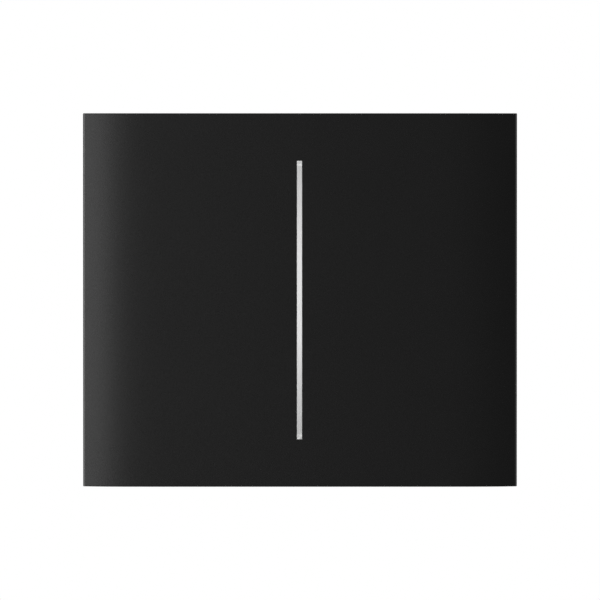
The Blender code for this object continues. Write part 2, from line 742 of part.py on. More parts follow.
def make_lamp_lead(side, word):
    """A springy wire from the board to the inner ear of its pole's bracket."""
    start = Vector((side * LEAD_ACROSS, board_back + SNUG, -LEAD_DROP))
    ear = side * (POLE_OFFSET - bracket_ear_outer - SEAT - LEAD_RADIUS)
    end = Vector((ear, lever_axis + LEVER_PIN_RADIUS + SEAT, -LEAD_END_DROP))
    third = (end.y - start.y) / 3
    along = Vector((0, third, 0))
    bend = [start, start + along, end - along, end]
    count = 10
    curve = bpy.data.curves.new(f"lamp_lead_{word}", "CURVE")
    curve.dimensions = "3D"
    curve.bevel_depth = LEAD_RADIUS
    curve.bevel_resolution = 2
    curve.use_fill_caps = True
    spline = curve.splines.new("POLY")
    spline.points.add(count)
    for step, point in enumerate(spline.points):
        t = step / count
        weights = ((1 - t) ** 3, 3 * t * (1 - t) ** 2, 3 * t**2 * (1 - t), t**3)
        at = sum((weight * corner for weight, corner in zip(weights, bend)), Vector())
        point.co = (*at, 1)
    lead = mesh_from_curve(f"lamp_lead_{word}", curve, Matrix.Identity(4))
    smooth(lead)
    return finish(lead, brass)


# ---- Contacts ----


def make_bracket(side, word):
    """The common terminal: a strip that ends in two notched ears, where the lever rocks."""
    middle = side * POLE_OFFSET
    half = BRACKET_EAR_HEIGHT / 2
    y = (strip_front, strip_back)
    bracket = block(
        f"common_bracket_{word}", (middle - bracket_ear_outer, middle + bracket_ear_outer), y, (-half, half)
    )
    tail_x = (middle - STRIP_WIDTH / 2, middle + STRIP_WIDTH / 2)
    tail = block(f"bracket_tail_{word}", tail_x, y, (0, strip_end))
    join(bracket, tail)
    apex = lever_axis + (LEVER_PIN_RADIUS + RUN) / sin(NOTCH_HALF)
    front = lever_axis - BRACKET_EAR_PAST
    mouth = (apex - front) * tan(NOTCH_HALF)
    foot = strip_front + STRIP_THICK / 2
    notch = [(front, mouth), (apex, 0), (front, -mouth)]
    outline = [(foot, -half), (foot, half), (front, half), *notch, (front, -half)]
    for place, hand in (("outer", side), ("inner", -side)):
        near, far = across(hand, bracket_ear_inner, bracket_ear_outer)
        join(bracket, slab(f"notched_ear_{place}_{word}", outline, (middle + near, middle + far), "X"))
    return finish(bracket, brass)


def lever_outline():
    """Side view of the level lever: a roof over its axis, and a lower arm that is upright once closed."""
    end_back = knee_back - (lever_arm - LEVER_KNEE) * tan(LEVER_SWING / 2)
    line = [(knee_back, LEVER_KNEE), (0, 0), (knee_back, -LEVER_KNEE), (end_back, -lever_arm)]
    front = [(lever_axis + y - LEVER_THICK / 2, z) for y, z in line]
    back = [(lever_axis + y + LEVER_THICK / 2, z) for y, z in reversed(line)]
    return front + back


def make_lever(side, word):
    middle = side * POLE_OFFSET
    lever = slab(
        f"contact_lever_{word}", lever_outline(), (middle - LEVER_WIDTH / 2, middle + LEVER_WIDTH / 2), "X"
    )
    reach = bracket_ear_outer + LEVER_PIN_PAST
    span = (middle - reach, middle + reach)
    pin = rod(f"lever_pin_{word}", LEVER_PIN_RADIUS, (lever_axis, 0), span, "X", 16)
    join(lever, pin)
    return finish(lever, brass)


def make_lever_contact(side, word):
    """The silver contact on the lower arm, drawn with the lever closed."""
    centre = (side * POLE_OFFSET, -contact_drop)
    back = closed_face - CONTACT_HEIGHT
    contact = rod(f"lever_contact_{word}", CONTACT_RADIUS, centre, (back, closed_face), sides=20)
    span = (back - SNUG - LEVER_THICK, back + SNUG)
    shank = rod(f"lever_contact_shank_{word}", CONTACT_SHANK, centre, span, sides=12)
    return finish(join(contact, shank), silver)


def make_lever_hole(side, word):
    """The cutter for the contact's shank, drawn with the lever closed."""
    centre = (side * POLE_OFFSET, -contact_drop)
    span = (closed_arm - LEVER_THICK, closed_arm + LEVER_THICK)
    return rod(f"lever_hole_{word}", CONTACT_SHANK + SNUG, centre, span, sides=12)


def make_fixed_strip(side, word):
    middle = side * POLE_OFFSET
    strip = block(
        f"fixed_strip_{word}",
        (middle - STRIP_WIDTH / 2, middle + STRIP_WIDTH / 2),
        (strip_front, strip_back),
        (-strip_end, -strip_start),
    )
    hole = rod(
        f"strip_hole_{word}",
        CONTACT_SHANK + SNUG,
        (middle, -contact_drop),
        (strip_front - OVER, strip_back + OVER),
        sides=12,
    )
    return finish(cut(strip, hole), brass)


def make_fixed_contact(side, word):
    centre = (side * POLE_OFFSET, -contact_drop)
    contact_y, shank_y = (fixed_face, strip_front - SNUG), (fixed_face + SNUG, strip_back)
    contact = rod(f"fixed_contact_{word}", CONTACT_RADIUS, centre, contact_y, sides=20)
    shank = rod(f"fixed_contact_shank_{word}", CONTACT_SHANK, centre, shank_y, sides=12)
    return finish(join(contact, shank), silver)


# ---- Terminals ----


def make_cage(side, up, word):
    """A rising cage: a box open to the wire, with a threaded collar that its screw draws towards the back."""
    middle, level = side * POLE_OFFSET, up * terminal_up
    half_x, half_z = cage_width / 2, CAGE_LENGTH / 2
    back = collar_front + CAGE_COLLAR
    cage = block(
        f"terminal_cage_{word}",
        (middle - half_x, middle + half_x),
        (cage_front - CAGE_WALL, back),
        (level - half_z, level + half_z),
    )
    inside = half_x - CAGE_WALL
    hollow = block(
        f"cage_hollow_{word}",
        (middle - inside, middle + inside),
        (cage_front, collar_front),
        (level - half_z - OVER, level + half_z + OVER),
    )
    span = (collar_front - OVER, back + OVER)
    thread = rod(f"cage_thread_{word}", CLAMP_RADIUS + RUN, (middle, level), span)
    return finish(cut(cage, hollow, thread), zinc_steel)


def make_clamp_screw(side, up, word):
    centre = (side * POLE_OFFSET, up * terminal_up)
    end = clamp_head + CLAMP_HEAD
    screw = rod(f"clamp_screw_{word}", CLAMP_HEAD_RADIUS, centre, (clamp_head, end))
    shank = rod(f"clamp_shank_{word}", CLAMP_RADIUS, centre, (clamp_tip, clamp_head + OVER))
    slot_x = (centre[0] - CLAMP_HEAD_RADIUS - OVER, centre[0] + CLAMP_HEAD_RADIUS + OVER)
    slot_z = (centre[1] - DRIVE_SLOT_WIDTH / 2, centre[1] + DRIVE_SLOT_WIDTH / 2)
    slot = block(f"clamp_slot_{word}", slot_x, (end - CLAMP_SLOT_DEPTH, end + OVER), slot_z)
    return finish(cut(join(screw, shank), slot), zinc_steel)


# ---- Housing ----


def make_housing():
    half_x, half_z = housing_width / 2, housing_height / 2
    housing = block("housing", (-half_x, half_x), (housing_front, housing_back), (-half_z, half_z))
    cut_lamp_room(housing)
    for side in (-1, 1):
        word = "left" if side < 0 else "right"
        cut_contact_chamber(housing, side, word)
        for up in (-1, 1):
            place = f"{'lower' if up < 0 else 'upper'}_{word}"
            cut_terminal_chamber(housing, side, up, place)
        add_pedestals(housing, side, word)
    for up in (-1, 1):
        cut_coring(housing, up)
    return finish(housing, dark_plastic)


def cut_contact_chamber(housing, side, word):
    x = across(side, POLE_BARRIER / 2, housing_width / 2 - HOUSING_WALL)
    y = (housing_front - OVER, chamber_back)
    cut(housing, block(f"contact_chamber_{word}", x, y, (-chamber_top, chamber_top)))


def cut_lamp_room(housing):
    half_x, half_z = LAMP_BOARD_WIDTH / 2 + SEAT, LAMP_BOARD_HEIGHT / 2 - LAMP_LEDGE
    cut(housing, block("lamp_room", (-half_x, half_x), (housing_front - OVER, LAMP_ROOM), (-half_z, half_z)))


def cut_terminal_chamber(housing, side, up, place):
    """The cage's chamber, the slot that holds the strip, the wire's entry and the screw's well."""
    middle, level = side * POLE_OFFSET, up * terminal_up
    x = (middle - terminal_half, middle + terminal_half)
    z = across(up, terminal_low, terminal_high)
    chamber = block(f"terminal_chamber_{place}", x, (housing_front - OVER, well_start), z)
    slot_x = (middle - STRIP_WIDTH / 2 - SEAT, middle + STRIP_WIDTH / 2 + SEAT)
    slot = block(
        f"strip_slot_{place}",
        slot_x,
        (strip_front - SEAT, strip_back + SEAT),
        across(up, chamber_top - OVER, terminal_low + OVER),
    )
    entry_half = cage_width / 2 - CAGE_WALL + SEAT
    entry = block(
        f"wire_entry_{place}",
        (middle - entry_half, middle + entry_half),
        (cage_front - SEAT, strip_front + SEAT),
        across(up, terminal_high - OVER, housing_height / 2 + OVER),
    )
    well_y, mouth_y = (well_start - OVER, well_end), (well_end - OVER, housing_back + OVER)
    well = rod(f"screw_well_{place}", CLAMP_HEAD_RADIUS + SEAT, (middle, level), well_y)
    mouth = rod(f"screw_mouth_{place}", MOUTH_RADIUS, (middle, level), mouth_y)
    cut(housing, chamber, slot, entry, well, mouth)


def add_pedestals(housing, side, word):
    """Blocks on the back wall that carry the bracket's base and the fixed contact's strip."""
    middle = side * POLE_OFFSET
    y = (strip_back + SEAT, chamber_back + OVER)
    half_x, half_z = STRIP_WIDTH / 2, BRACKET_EAR_HEIGHT / 2
    x = (middle - half_x, middle + half_x)
    under_bracket = block(f"pedestal_bracket_{word}", x, y, (-half_z, half_z))
    under_strip = block(f"pedestal_strip_{word}", x, y, (-chamber_top - OVER, -strip_start))
    join(housing, under_bracket, under_strip)


def cut_coring(housing, up):
    """The pilot hole for a frame screw, and the hollow moulded behind it."""
    word = "lower" if up < 0 else "upper"
    level = up * FRAME_SCREW_UP
    pilot_y = (housing_front - OVER, flange_front + FRAME_SCREW_HEAD + FRAME_SCREW_LENGTH + SEAT)
    pilot = rod(f"pilot_{word}", FRAME_SCREW_RADIUS + RUN, (0, level), pilot_y)
    half_x, half_z = CORING_WIDTH / 2, CORING_HEIGHT / 2
    coring = block(
        f"coring_{word}",
        (-half_x, half_x),
        (housing_back - CORING_DEPTH, housing_back + OVER),
        (level - half_z, level + half_z),
    )
    cut(housing, pilot, coring)


# ---- Build ----

clear_scene()
parts = new_collection("rocker_wall_switch")
cutters = new_collection("cutters")

black_plastic = material("black_plastic", (0.014, 0.014, 0.014), 0.55)
grey_plastic = material("grey_plastic", (0.30, 0.31, 0.32), 0.50)
dark_plastic = material("dark_plastic", (0.045, 0.047, 0.050), 0.50)
white_plastic = material("white_plastic", (0.80, 0.80, 0.78), 0.40)
light_plastic = material("light_plastic", (0.86, 0.86, 0.86), 0.30, transmission=0.4)
lamp_resin = material("lamp_resin", (0.90, 0.91, 0.92), 0.15, transmission=0.6)
board_green = material("board_green", (0.03, 0.16, 0.08), 0.40)
brass = material("brass", (0.72, 0.52, 0.24), 0.30, metallic=1.0)
silver = material("silver", (0.80, 0.79, 0.76), 0.28, metallic=1.0)
zinc_steel = material("zinc_steel", (0.66, 0.67, 0.68), 0.32, metallic=1.0)
spring_steel = material("spring_steel", (0.55, 0.55, 0.56), 0.30, metallic=1.0)

rocker_axis = axis_empty("rocker_axis", (0, pivot, 0), rest_tilt)
hang(rocker_axis, make_key_cover(), make_light_bar(), make_carrier())
make_front_frame()
make_housing()
make_lamp_board()
make_lamp()
make_resistor()
make_frame_screw(1, "upper")
make_frame_screw(-1, "lower")

for word, side in (("left", -1), ("right", 1)):
    middle = side * POLE_OFFSET
    toggle_axis = axis_empty(f"toggle_axis_{word}", (middle, pivot, 0), rest_tilt)
    hang(toggle_axis, make_plunger(side, word), make_toggle_spring(side, word))
    make_bracket(side, word)
    make_fixed_strip(side, word)
    make_fixed_contact(side, word)
    make_lamp_lead(side, word)

    lever_axis_open = axis_empty(f"lever_axis_{word}", (middle, lever_axis, 0), rest_lever)
    lever_axis_shut = axis_empty(f"lever_axis_shut_{word}", (middle, lever_axis, 0), rest_lever * 2)
    lever = make_lever(side, word)
    hang(lever_axis_open, lever)
    hole = make_lever_hole(side, word)
    hang(lever_axis_shut, make_lever_contact(side, word), hole)
    cut(lever, hole)

    for vertical, up in (("upper", 1), ("lower", -1)):
        place = f"{vertical}_{word}"
        clamp_axis = axis_empty(f"clamp_axis_{place}", (middle, clamp_head, up * terminal_up), 0)
        hang(clamp_axis, make_cage(side, up, place), make_clamp_screw(side, up, place))
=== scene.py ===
import json
from math import atan2, ceil, cos, hypot, pi, radians, sin

import bmesh
import bpy
from mathutils import Matrix, Vector

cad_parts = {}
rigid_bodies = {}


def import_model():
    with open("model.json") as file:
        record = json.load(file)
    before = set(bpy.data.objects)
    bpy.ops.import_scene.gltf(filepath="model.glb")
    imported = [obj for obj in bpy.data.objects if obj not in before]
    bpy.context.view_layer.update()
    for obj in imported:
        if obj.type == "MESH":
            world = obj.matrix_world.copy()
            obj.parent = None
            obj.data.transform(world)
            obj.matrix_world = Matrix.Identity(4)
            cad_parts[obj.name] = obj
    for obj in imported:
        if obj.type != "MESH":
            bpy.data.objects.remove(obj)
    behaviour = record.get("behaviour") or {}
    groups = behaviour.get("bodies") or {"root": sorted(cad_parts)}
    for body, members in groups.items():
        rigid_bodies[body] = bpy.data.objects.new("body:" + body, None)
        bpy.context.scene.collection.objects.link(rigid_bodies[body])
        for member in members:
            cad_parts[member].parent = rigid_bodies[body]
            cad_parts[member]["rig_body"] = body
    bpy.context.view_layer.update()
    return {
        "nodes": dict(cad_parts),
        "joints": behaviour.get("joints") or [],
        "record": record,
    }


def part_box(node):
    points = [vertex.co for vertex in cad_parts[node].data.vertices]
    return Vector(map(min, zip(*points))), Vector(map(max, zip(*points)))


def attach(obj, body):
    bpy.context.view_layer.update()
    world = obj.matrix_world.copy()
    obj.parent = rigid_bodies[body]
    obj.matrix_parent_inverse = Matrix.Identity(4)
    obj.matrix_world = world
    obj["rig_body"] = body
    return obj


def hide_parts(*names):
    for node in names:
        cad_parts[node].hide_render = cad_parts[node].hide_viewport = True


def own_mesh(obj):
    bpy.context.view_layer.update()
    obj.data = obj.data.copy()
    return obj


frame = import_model()
print("frame loaded with", len(frame["nodes"]), "nodes")

mm = 0.001
hair = 0.002 * mm  # how close counts as touching
speck = hair / 10  # how close counts as the same point
sides = {"left": -1, "right": 1}
rows = ("upper", "lower")
quarters = [(side, end) for side in (-1, 1) for end in (-1, 1)]


def jointOf(name):
    return next(joint for joint in frame["joints"] if joint["name"] == name)


rockPoint = Vector(jointOf("key_rock")["pos_m"])
plungerWay = Vector(jointOf("plunger_slide_left")["axis"])
keyLean = atan2(plungerWay.z, plungerWay.y)  # how far the key leans at rest


# Materials

white, black = (1, 1, 1), (0, 0, 0)


def grey(level):
    return (level, level, level)


def scaled(colour, factor):
    return tuple(min(1, channel * factor) for channel in colour)


def newMaterial(name, look, metallic=0.0):
    material = bpy.data.materials.new(name)
    material.use_nodes = True
    tree = material.node_tree
    shader = tree.nodes["Principled BSDF"]
    shader.inputs["Roughness"].default_value = look["roughness"]
    shader.inputs["Metallic"].default_value = metallic
    shader.inputs["Specular IOR Level"].default_value = look.get("specular", 0.5)
    place = tree.nodes.new("ShaderNodeTexCoord").outputs["Object"]
    return material, tree, shader, place


def noise(tree, place, grain, detail=2.0, stretch=(1, 1, 1)):
    # grain is about the size of one speck, and stretch below 1 draws the specks out along that axis
    mapping = tree.nodes.new("ShaderNodeMapping")
    mapping.inputs["Scale"].default_value = stretch
    texture = tree.nodes.new("ShaderNodeTexNoise")
    texture.inputs["Scale"].default_value = 1 / grain
    texture.inputs["Detail"].default_value = detail
    tree.links.new(place, mapping.inputs["Vector"])
    tree.links.new(mapping.outputs["Vector"], texture.inputs["Vector"])
    return texture.outputs["Fac"]


def along(tree, place, axis):
    split = tree.nodes.new("ShaderNodeSeparateXYZ")
    tree.links.new(place, split.inputs["Vector"])
    return split.outputs[axis]


def spread(tree, source, low, high, start=0.3, end=0.7):
    # a value from low to high; most of a noise texture lies between 0.3 and 0.7
    node = tree.nodes.new("ShaderNodeMapRange")
    for socket, value in (("From Min", start), ("From Max", end), ("To Min", low), ("To Max", high)):
        node.inputs[socket].default_value = value
    tree.links.new(source, node.inputs["Value"])
    return node.outputs["Result"]


def ramp(tree, source, stops):
    # stops are (position, colour) pairs
    node = tree.nodes.new("ShaderNodeValToRGB")
    elements = node.color_ramp.elements
    while len(elements) < len(stops):
        elements.new(0.5)
    for element, (position, colour) in zip(elements, stops):
        element.position = position
        element.color = (*colour, 1)
    tree.links.new(source, node.inputs["Fac"])
    return node.outputs["Color"]


def twoTone(tree, source, first, second, start=0.3, end=0.7):
    return ramp(tree, source, [(start, first), (end, second)])


def mixed(tree, first, second, blend, share=1.0):
    node = tree.nodes.new("ShaderNodeMix")
    node.data_type = "RGBA"
    node.blend_type = blend
    node.inputs["Factor"].default_value = share
    tree.links.new(first, node.inputs[6])
    tree.links.new(second, node.inputs[7])
    return node.outputs[2]


def maths(tree, operation, *sources):
    node = tree.nodes.new("ShaderNodeMath")
    node.operation = operation
    for source, socket in zip(sources, node.inputs):
        tree.links.new(source, socket)
    return node.outputs["Value"]


def bump(tree, shader, source, depth, strength=1.0, under=None):
    node = tree.nodes.new("ShaderNodeBump")
    node.inputs["Strength"].default_value = strength
    node.inputs["Distance"].default_value = depth
    tree.links.new(source, node.inputs["Height"])
    if under:
        tree.links.new(under, node.inputs["Normal"])
    tree.links.new(node.outputs["Normal"], shader.inputs["Normal"])
    return node.outputs["Normal"]


moulding = {
    "flow": 11 * mm, "flowDeep": 0.1, "flowStrength": 0.3,
    "fleckSize": 0.8, "fleckSpan": (0.35, 0.65), "unevenShine": 0.08,
}  # flowDeep and fleckSize are shares of the grain, and unevenShine is one of the roughness


def mouldedPlastic(name, colour, look):
    # plastic from a spark-eroded mould: a fine even grain, with faint clouds where the melt flowed
    grain, roughness, cloud = look["grain"], look["roughness"], look["cloud"]
    material, tree, shader, place = newMaterial(name, look)
    fine = noise(tree, place, grain, detail=3)
    flow = noise(tree, place, moulding["flow"], detail=3)
    fleck = noise(tree, place, grain * moulding["fleckSize"], detail=1)
    clouds = twoTone(tree, flow, scaled(colour, 1 - cloud), scaled(colour, 1 + cloud))
    flecks = twoTone(tree, fleck, grey(1 - look["fleck"]), white, *moulding["fleckSpan"])
    tree.links.new(mixed(tree, clouds, flecks, "MULTIPLY"), shader.inputs["Base Color"])
    uneven = roughness * moulding["unevenShine"]
    tree.links.new(spread(tree, fine, roughness - uneven, roughness + uneven), shader.inputs["Roughness"])
    wave = bump(tree, shader, flow, grain * moulding["flowDeep"], moulding["flowStrength"])
    bump(tree, shader, fine, look["relief"], under=wave)
    return material


working = {"streakTone": 0.86, "streakTo": 0.6, "smoother": 0.07, "rougher": 0.09, "patchShare": 0.4}


def metal(name, dark, light, look):
    # streaks that follow the metal's making, over a patchy tone
    material, tree, shader, place = newMaterial(name, look, metallic=1)
    streaks = noise(tree, place, look["grain"], detail=4, stretch=look["stretch"])
    patches = noise(tree, place, look["patch"], detail=3)
    tone = twoTone(tree, patches, dark, light)
    lines = twoTone(tree, streaks, grey(working["streakTone"]), white, end=working["streakTo"])
    tree.links.new(mixed(tree, tone, lines, "MULTIPLY"), shader.inputs["Base Color"])
    worn = mixed(tree, streaks, patches, "MIX", working["patchShare"])
    low, high = look["roughness"] - working["smoother"], look["roughness"] + working["rougher"]
    tree.links.new(spread(tree, worn, low, high), shader.inputs["Roughness"])
    bump(tree, shader, streaks, look["relief"])
    return material


guide = {
    "roughness": 0.34, "specular": 0.4, "halfLength": 21.65 * mm, "glowDrop": 0.09 * mm,
    # the painted glow of the lamp behind: share of the length and brightness
    "glow": (
        (0.0, 0.57), (0.034, 0.530), (0.105, 0.602), (0.213, 0.696), (0.356, 0.869), (0.5, 0.890),
        (0.643, 0.893), (0.786, 0.785), (0.894, 0.692), (0.966, 0.616), (1.0, 0.65),
    ),  # share of the length from its lower end, and brightness
    # where the painted highlights at the end pieces lie, how wide they are, and how much darker the bar is
    # beside them
    "lowerPiece": 0.60 * mm, "upperPiece": 0.61 * mm, "highlightWide": 0.13 * mm, "besideHighlight": 0.62,
    "grain": 0.25 * mm, "grainTone": 0.97, "patch": 0.4 * mm, "patchShine": (0.3, 0.38),
    "ripple": 0.2 * mm, "rippleDeep": 0.002 * mm,
}


def lightGuide():
    # translucent plastic with painted light: a painted glow, its colour lightest over its lamp, and a thin
    # painted highlight where each end piece starts
    low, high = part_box("light_bar")
    middle, half = (low.z + high.z) / 2 - guide["glowDrop"], guide["halfLength"]
    material, tree, shader, place = newMaterial("light guide", guide)
    share = spread(tree, along(tree, place, "Z"), 0, 1, middle - half, middle + half)
    glow = ramp(tree, share, [(position, grey(level)) for position, level in guide["glow"]])
    # the painted highlights, one where each end piece starts, over a bar painted darker beside them
    width, plain = guide["highlightWide"] / (2 * half), grey(guide["besideHighlight"])
    stops = []
    for position in (guide["lowerPiece"] / (2 * half), 1 - guide["upperPiece"] / (2 * half)):
        stops += [(position - width, plain), (position - width / 2, white)]
        stops += [(position + width / 2, white), (position + width, plain)]
    lines = ramp(tree, share, stops)
    grain = twoTone(tree, noise(tree, place, guide["grain"]), grey(guide["grainTone"]), white)
    tone = mixed(tree, mixed(tree, glow, lines, "MULTIPLY"), grain, "MULTIPLY")
    tree.links.new(tone, shader.inputs["Base Color"])
    shine = spread(tree, noise(tree, place, guide["patch"]), *guide["patchShine"])
    tree.links.new(shine, shader.inputs["Roughness"])
    bump(tree, shader, noise(tree, place, guide["ripple"]), guide["rippleDeep"])
    return material


# the painted highlight along the key's two upright edges: where it lies across, and how pale it is on each
# side
paintedRimHighlight = {
    "from": 33.385 * mm, "to": 33.625 * mm, "fullFrom": 0.3, "fullTo": 0.7, "left": 0.058, "right": 0.022,
    "facing": (-0.9, -0.7),  # where the surface turns away from the front
}


def paintRimHighlight(material):
    # a painted highlight: a thin paler line just inside the two upright edges of the key's front, paler on
    # the left, where the key light falls, than on the right, and only where the surface faces the front
    tree = material.node_tree
    nodes = {node.type: node for node in tree.nodes}
    shader, place = nodes["BSDF_PRINCIPLED"], nodes["TEX_COORD"]
    across = along(tree, place.outputs["Object"], "X")
    band = spread(tree, maths(tree, "ABSOLUTE", across), 0, 1, paintedRimHighlight["from"], paintedRimHighlight["to"])
    full = [(paintedRimHighlight["fullFrom"], white), (paintedRimHighlight["fullTo"], white)]
    line = ramp(tree, band, [(0, black), *full, (1, black)])
    side = spread(tree, across, 0, 1, -mm, mm)
    tone = twoTone(tree, side, grey(paintedRimHighlight["left"]), grey(paintedRimHighlight["right"]), 0, 1)
    turn = spread(tree, along(tree, place.outputs["Normal"], "Y"), 0, 1, *paintedRimHighlight["facing"])
    front = twoTone(tree, turn, white, black, 0, 1)
    highlightTone = mixed(tree, mixed(tree, line, tone, "MULTIPLY"), front, "MULTIPLY")
    base = shader.inputs["Base Color"].links[0].from_socket
    tree.links.new(mixed(tree, base, highlightTone, "ADD"), shader.inputs["Base Color"])


plastics = {
    "black_plastic": ((0.0020, 0.0020, 0.0020), 0.275, 0.076, 0.16, 0.0022, 0.10, 0.2),
    "grey_plastic": ((0.34, 0.35, 0.36), 0.46, 0.4, 0.22, 0.006, 0.05, 0.05),
    "dark_plastic": ((0.050, 0.052, 0.056), 0.44, 0.35, 0.26, 0.008, 0.10, 0.25),
    "white_plastic": ((0.78, 0.78, 0.76), 0.36, 0.5, 0.20, 0.003, 0.03, 0.03),
    "board_green": ((0.020, 0.13, 0.060), 0.32, 0.5, 0.30, 0.003, 0.12, 0.2),
    "lamp_resin": ((0.84, 0.85, 0.86), 0.16, 0.5, 0.50, 0.001, 0.03, 0.02),
}  # colour, roughness, specular, grain in mm, relief in mm, cloud, fleck

metals = {
    "brass": ((0.56, 0.36, 0.13), (0.76, 0.55, 0.25), 0.30, 0.09, 1.8, 0.0016, (1, 1, 0.06)),
    "silver": ((0.66, 0.65, 0.62), (0.86, 0.85, 0.82), 0.26, 0.10, 0.7, 0.0016, (1, 1, 1)),
    "zinc_steel": ((0.34, 0.36, 0.39), (0.54, 0.55, 0.55), 0.33, 0.16, 1.1, 0.0026, (1, 0.4, 1)),
    "spring_steel": ((0.40, 0.40, 0.41), (0.60, 0.60, 0.60), 0.27, 0.06, 0.6, 0.0010, (1, 1, 1)),
}  # dark, light, roughness, grain in mm, patch in mm, relief in mm, stretch

finish = {"light_plastic": lightGuide()}
for name, (colour, roughness, specular, grain, relief, cloud, fleck) in plastics.items():
    look = {"roughness": roughness, "specular": specular, "grain": grain * mm, "relief": relief * mm}
    finish[name] = mouldedPlastic(name.replace("_", " "), colour, {**look, "cloud": cloud, "fleck": fleck})
for name, (dark, light, roughness, grain, patch, relief, stretch) in metals.items():
    look = {"roughness": roughness, "grain": grain * mm, "patch": patch * mm, "relief": relief * mm}
    finish[name] = metal(name.replace("_", " "), dark, light, {**look, "stretch": stretch})
# paints the rim highlight into the black plastic's colour
paintRimHighlight(finish["black_plastic"])
print("materials made:", len(finish))


# Shaping

shaping = {
    "weld": 0.001 * mm, "square": 0.999, "straight": 0.99, "evenness": 80,
    "past": 0.5 * mm,  # how far a cutting block stands out of what it cuts
    "flatTurn": radians(0.4),  # faces that turn less than this are one flat area
    "softTurn": radians(35),  # edges that turn more than this are softened
    "foldTurn": 1.0,  # a sharp turn, in radians
}


def newMesh(name, bm):
    mesh = bpy.data.meshes.new(name)
    bm.to_mesh(mesh)
    bm.free()
    return mesh


def newObject(name, data):
    made = bpy.data.objects.new(name, data)
    bpy.context.scene.collection.objects.link(made)
    return made


def mergedCopy(node):
    # a frame node's shape with its loose triangles merged, so that each flat area is one clean face
    bm = bmesh.new()
    bm.from_mesh(frame["nodes"][node].data)
    bmesh.ops.remove_doubles(bm, verts=bm.verts, dist=shaping["weld"])
    flatten(bm)
    return bm


def flatten(bm):
    bmesh.ops.dissolve_limit(bm, angle_limit=shaping["flatTurn"], verts=bm.verts, edges=bm.edges)


def lean(bm, angle):
    bmesh.ops.rotate(bm, cent=rockPoint, matrix=Matrix.Rotation(angle, 3, "X"), verts=bm.verts)


def levelBox(node):
    # the corners that a node on the key has when the key is level
    bm = mergedCopy(node)
    lean(bm, -keyLean)
    points = [vertex.co for vertex in bm.verts]
    corners = [Vector([pick(point[axis] for point in points) for axis in range(3)]) for pick in (min, max)]
    bm.free()
    return corners


def centreOf(node):
    # where a node's middle stands in x and z
    low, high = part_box(node)
    return (low.x + high.x) / 2, (low.z + high.z) / 2


def middleOf(edge):
    return (edge.verts[0].co + edge.verts[1].co) / 2


def around(middle, half):
    return (middle - half, middle + half)


def spaced(count, pitch):
    # places a pitch apart, evenly on both sides of 0
    return [(number - (count - 1) / 2) * pitch for number in range(count)]


def rectangle(first, second):
    # between two spans, the ends of each in either order
    (left, right), (low, high) = sorted(first), sorted(second)
    return [(left, low), (right, low), (right, high), (left, high)]


def mirrored(side, end, across, up):
    # a rectangle given in mm for the quarter with positive x and z, in whichever quarter is wanted
    return rectangle([side * place * mm for place in across], [end * place * mm for place in up])


def ring(centre, radius, count=28):
    angles = [2 * pi * k / count for k in range(count)]
    return [(centre[0] + radius * cos(angle), centre[1] + radius * sin(angle)) for angle in angles]


def facingBack(y):
    # a surface is an axis, a place along it, and which way its faces look
    return (1, y, 1)


def facingFront(y):
    return (1, y, -1)


def facesOn(bm, surface):
    axis, place, facing = surface
    square = [face for face in bm.faces if face.normal[axis] * facing > shaping["square"]]
    return [face for face in square if abs(face.calc_center_median()[axis] - place) < hair]


def foldsWhere(bm, isThere):
    # the edges where the surface turns sharply, if both their ends are at the right place
    found = [edge for edge in bm.edges if all(isThere(vertex.co) for vertex in edge.verts)]
    return [edge for edge in found if edge.calc_face_angle() > shaping["foldTurn"]]


def spanOf(faces):
    geometry = dict.fromkeys(faces)
    for face in faces:
        geometry.update(dict.fromkeys(face.edges))
        geometry.update(dict.fromkeys(face.verts))
    return list(geometry)


def divided(bm, faces, point, way):
    cut = bmesh.ops.bisect_plane(bm, geom=spanOf(faces), plane_co=point, plane_no=way, dist=speck)
    return [item for item in cut["geom"] if isinstance(item, bmesh.types.BMFace)]


def cutAcross(bm, axis, places, faces):
    # divides faces at planes across one axis
    way = Vector([axis == number for number in range(3)])
    for place in places:
        faces = divided(bm, faces, way * place, way)
    return faces


def cutBetween(bm, surface, across, up=()):
    # divides a surface halfway between its features, at places in mm, so that their bevels stay apart
    for axis, places in ((0, across), (2, up)):
        cuts = [sign * place * mm for place in places for sign in ((-1, 1) if place else (1,))]
        cutAcross(bm, axis, cuts, facesOn(bm, surface))


def bridgeRound(bm, surface, centre, radius):
    # puts plain spokes across a ring-shaped end
    middle = Vector((centre[0], surface[1], centre[1]))
    faces = [
        face for face in facesOn(bm, surface)
        if all((vertex.co - middle).length < radius for vertex in face.verts)
    ]
    edges = dict.fromkeys(edge for face in faces for edge in face.edges)
    rims = [edge for edge in edges if not all(face in faces for face in edge.link_faces)]
    bmesh.ops.delete(bm, geom=faces, context="FACES")
    bmesh.ops.bridge_loops(bm, edges=rims)
    bmesh.ops.recalc_face_normals(bm, faces=bm.faces)


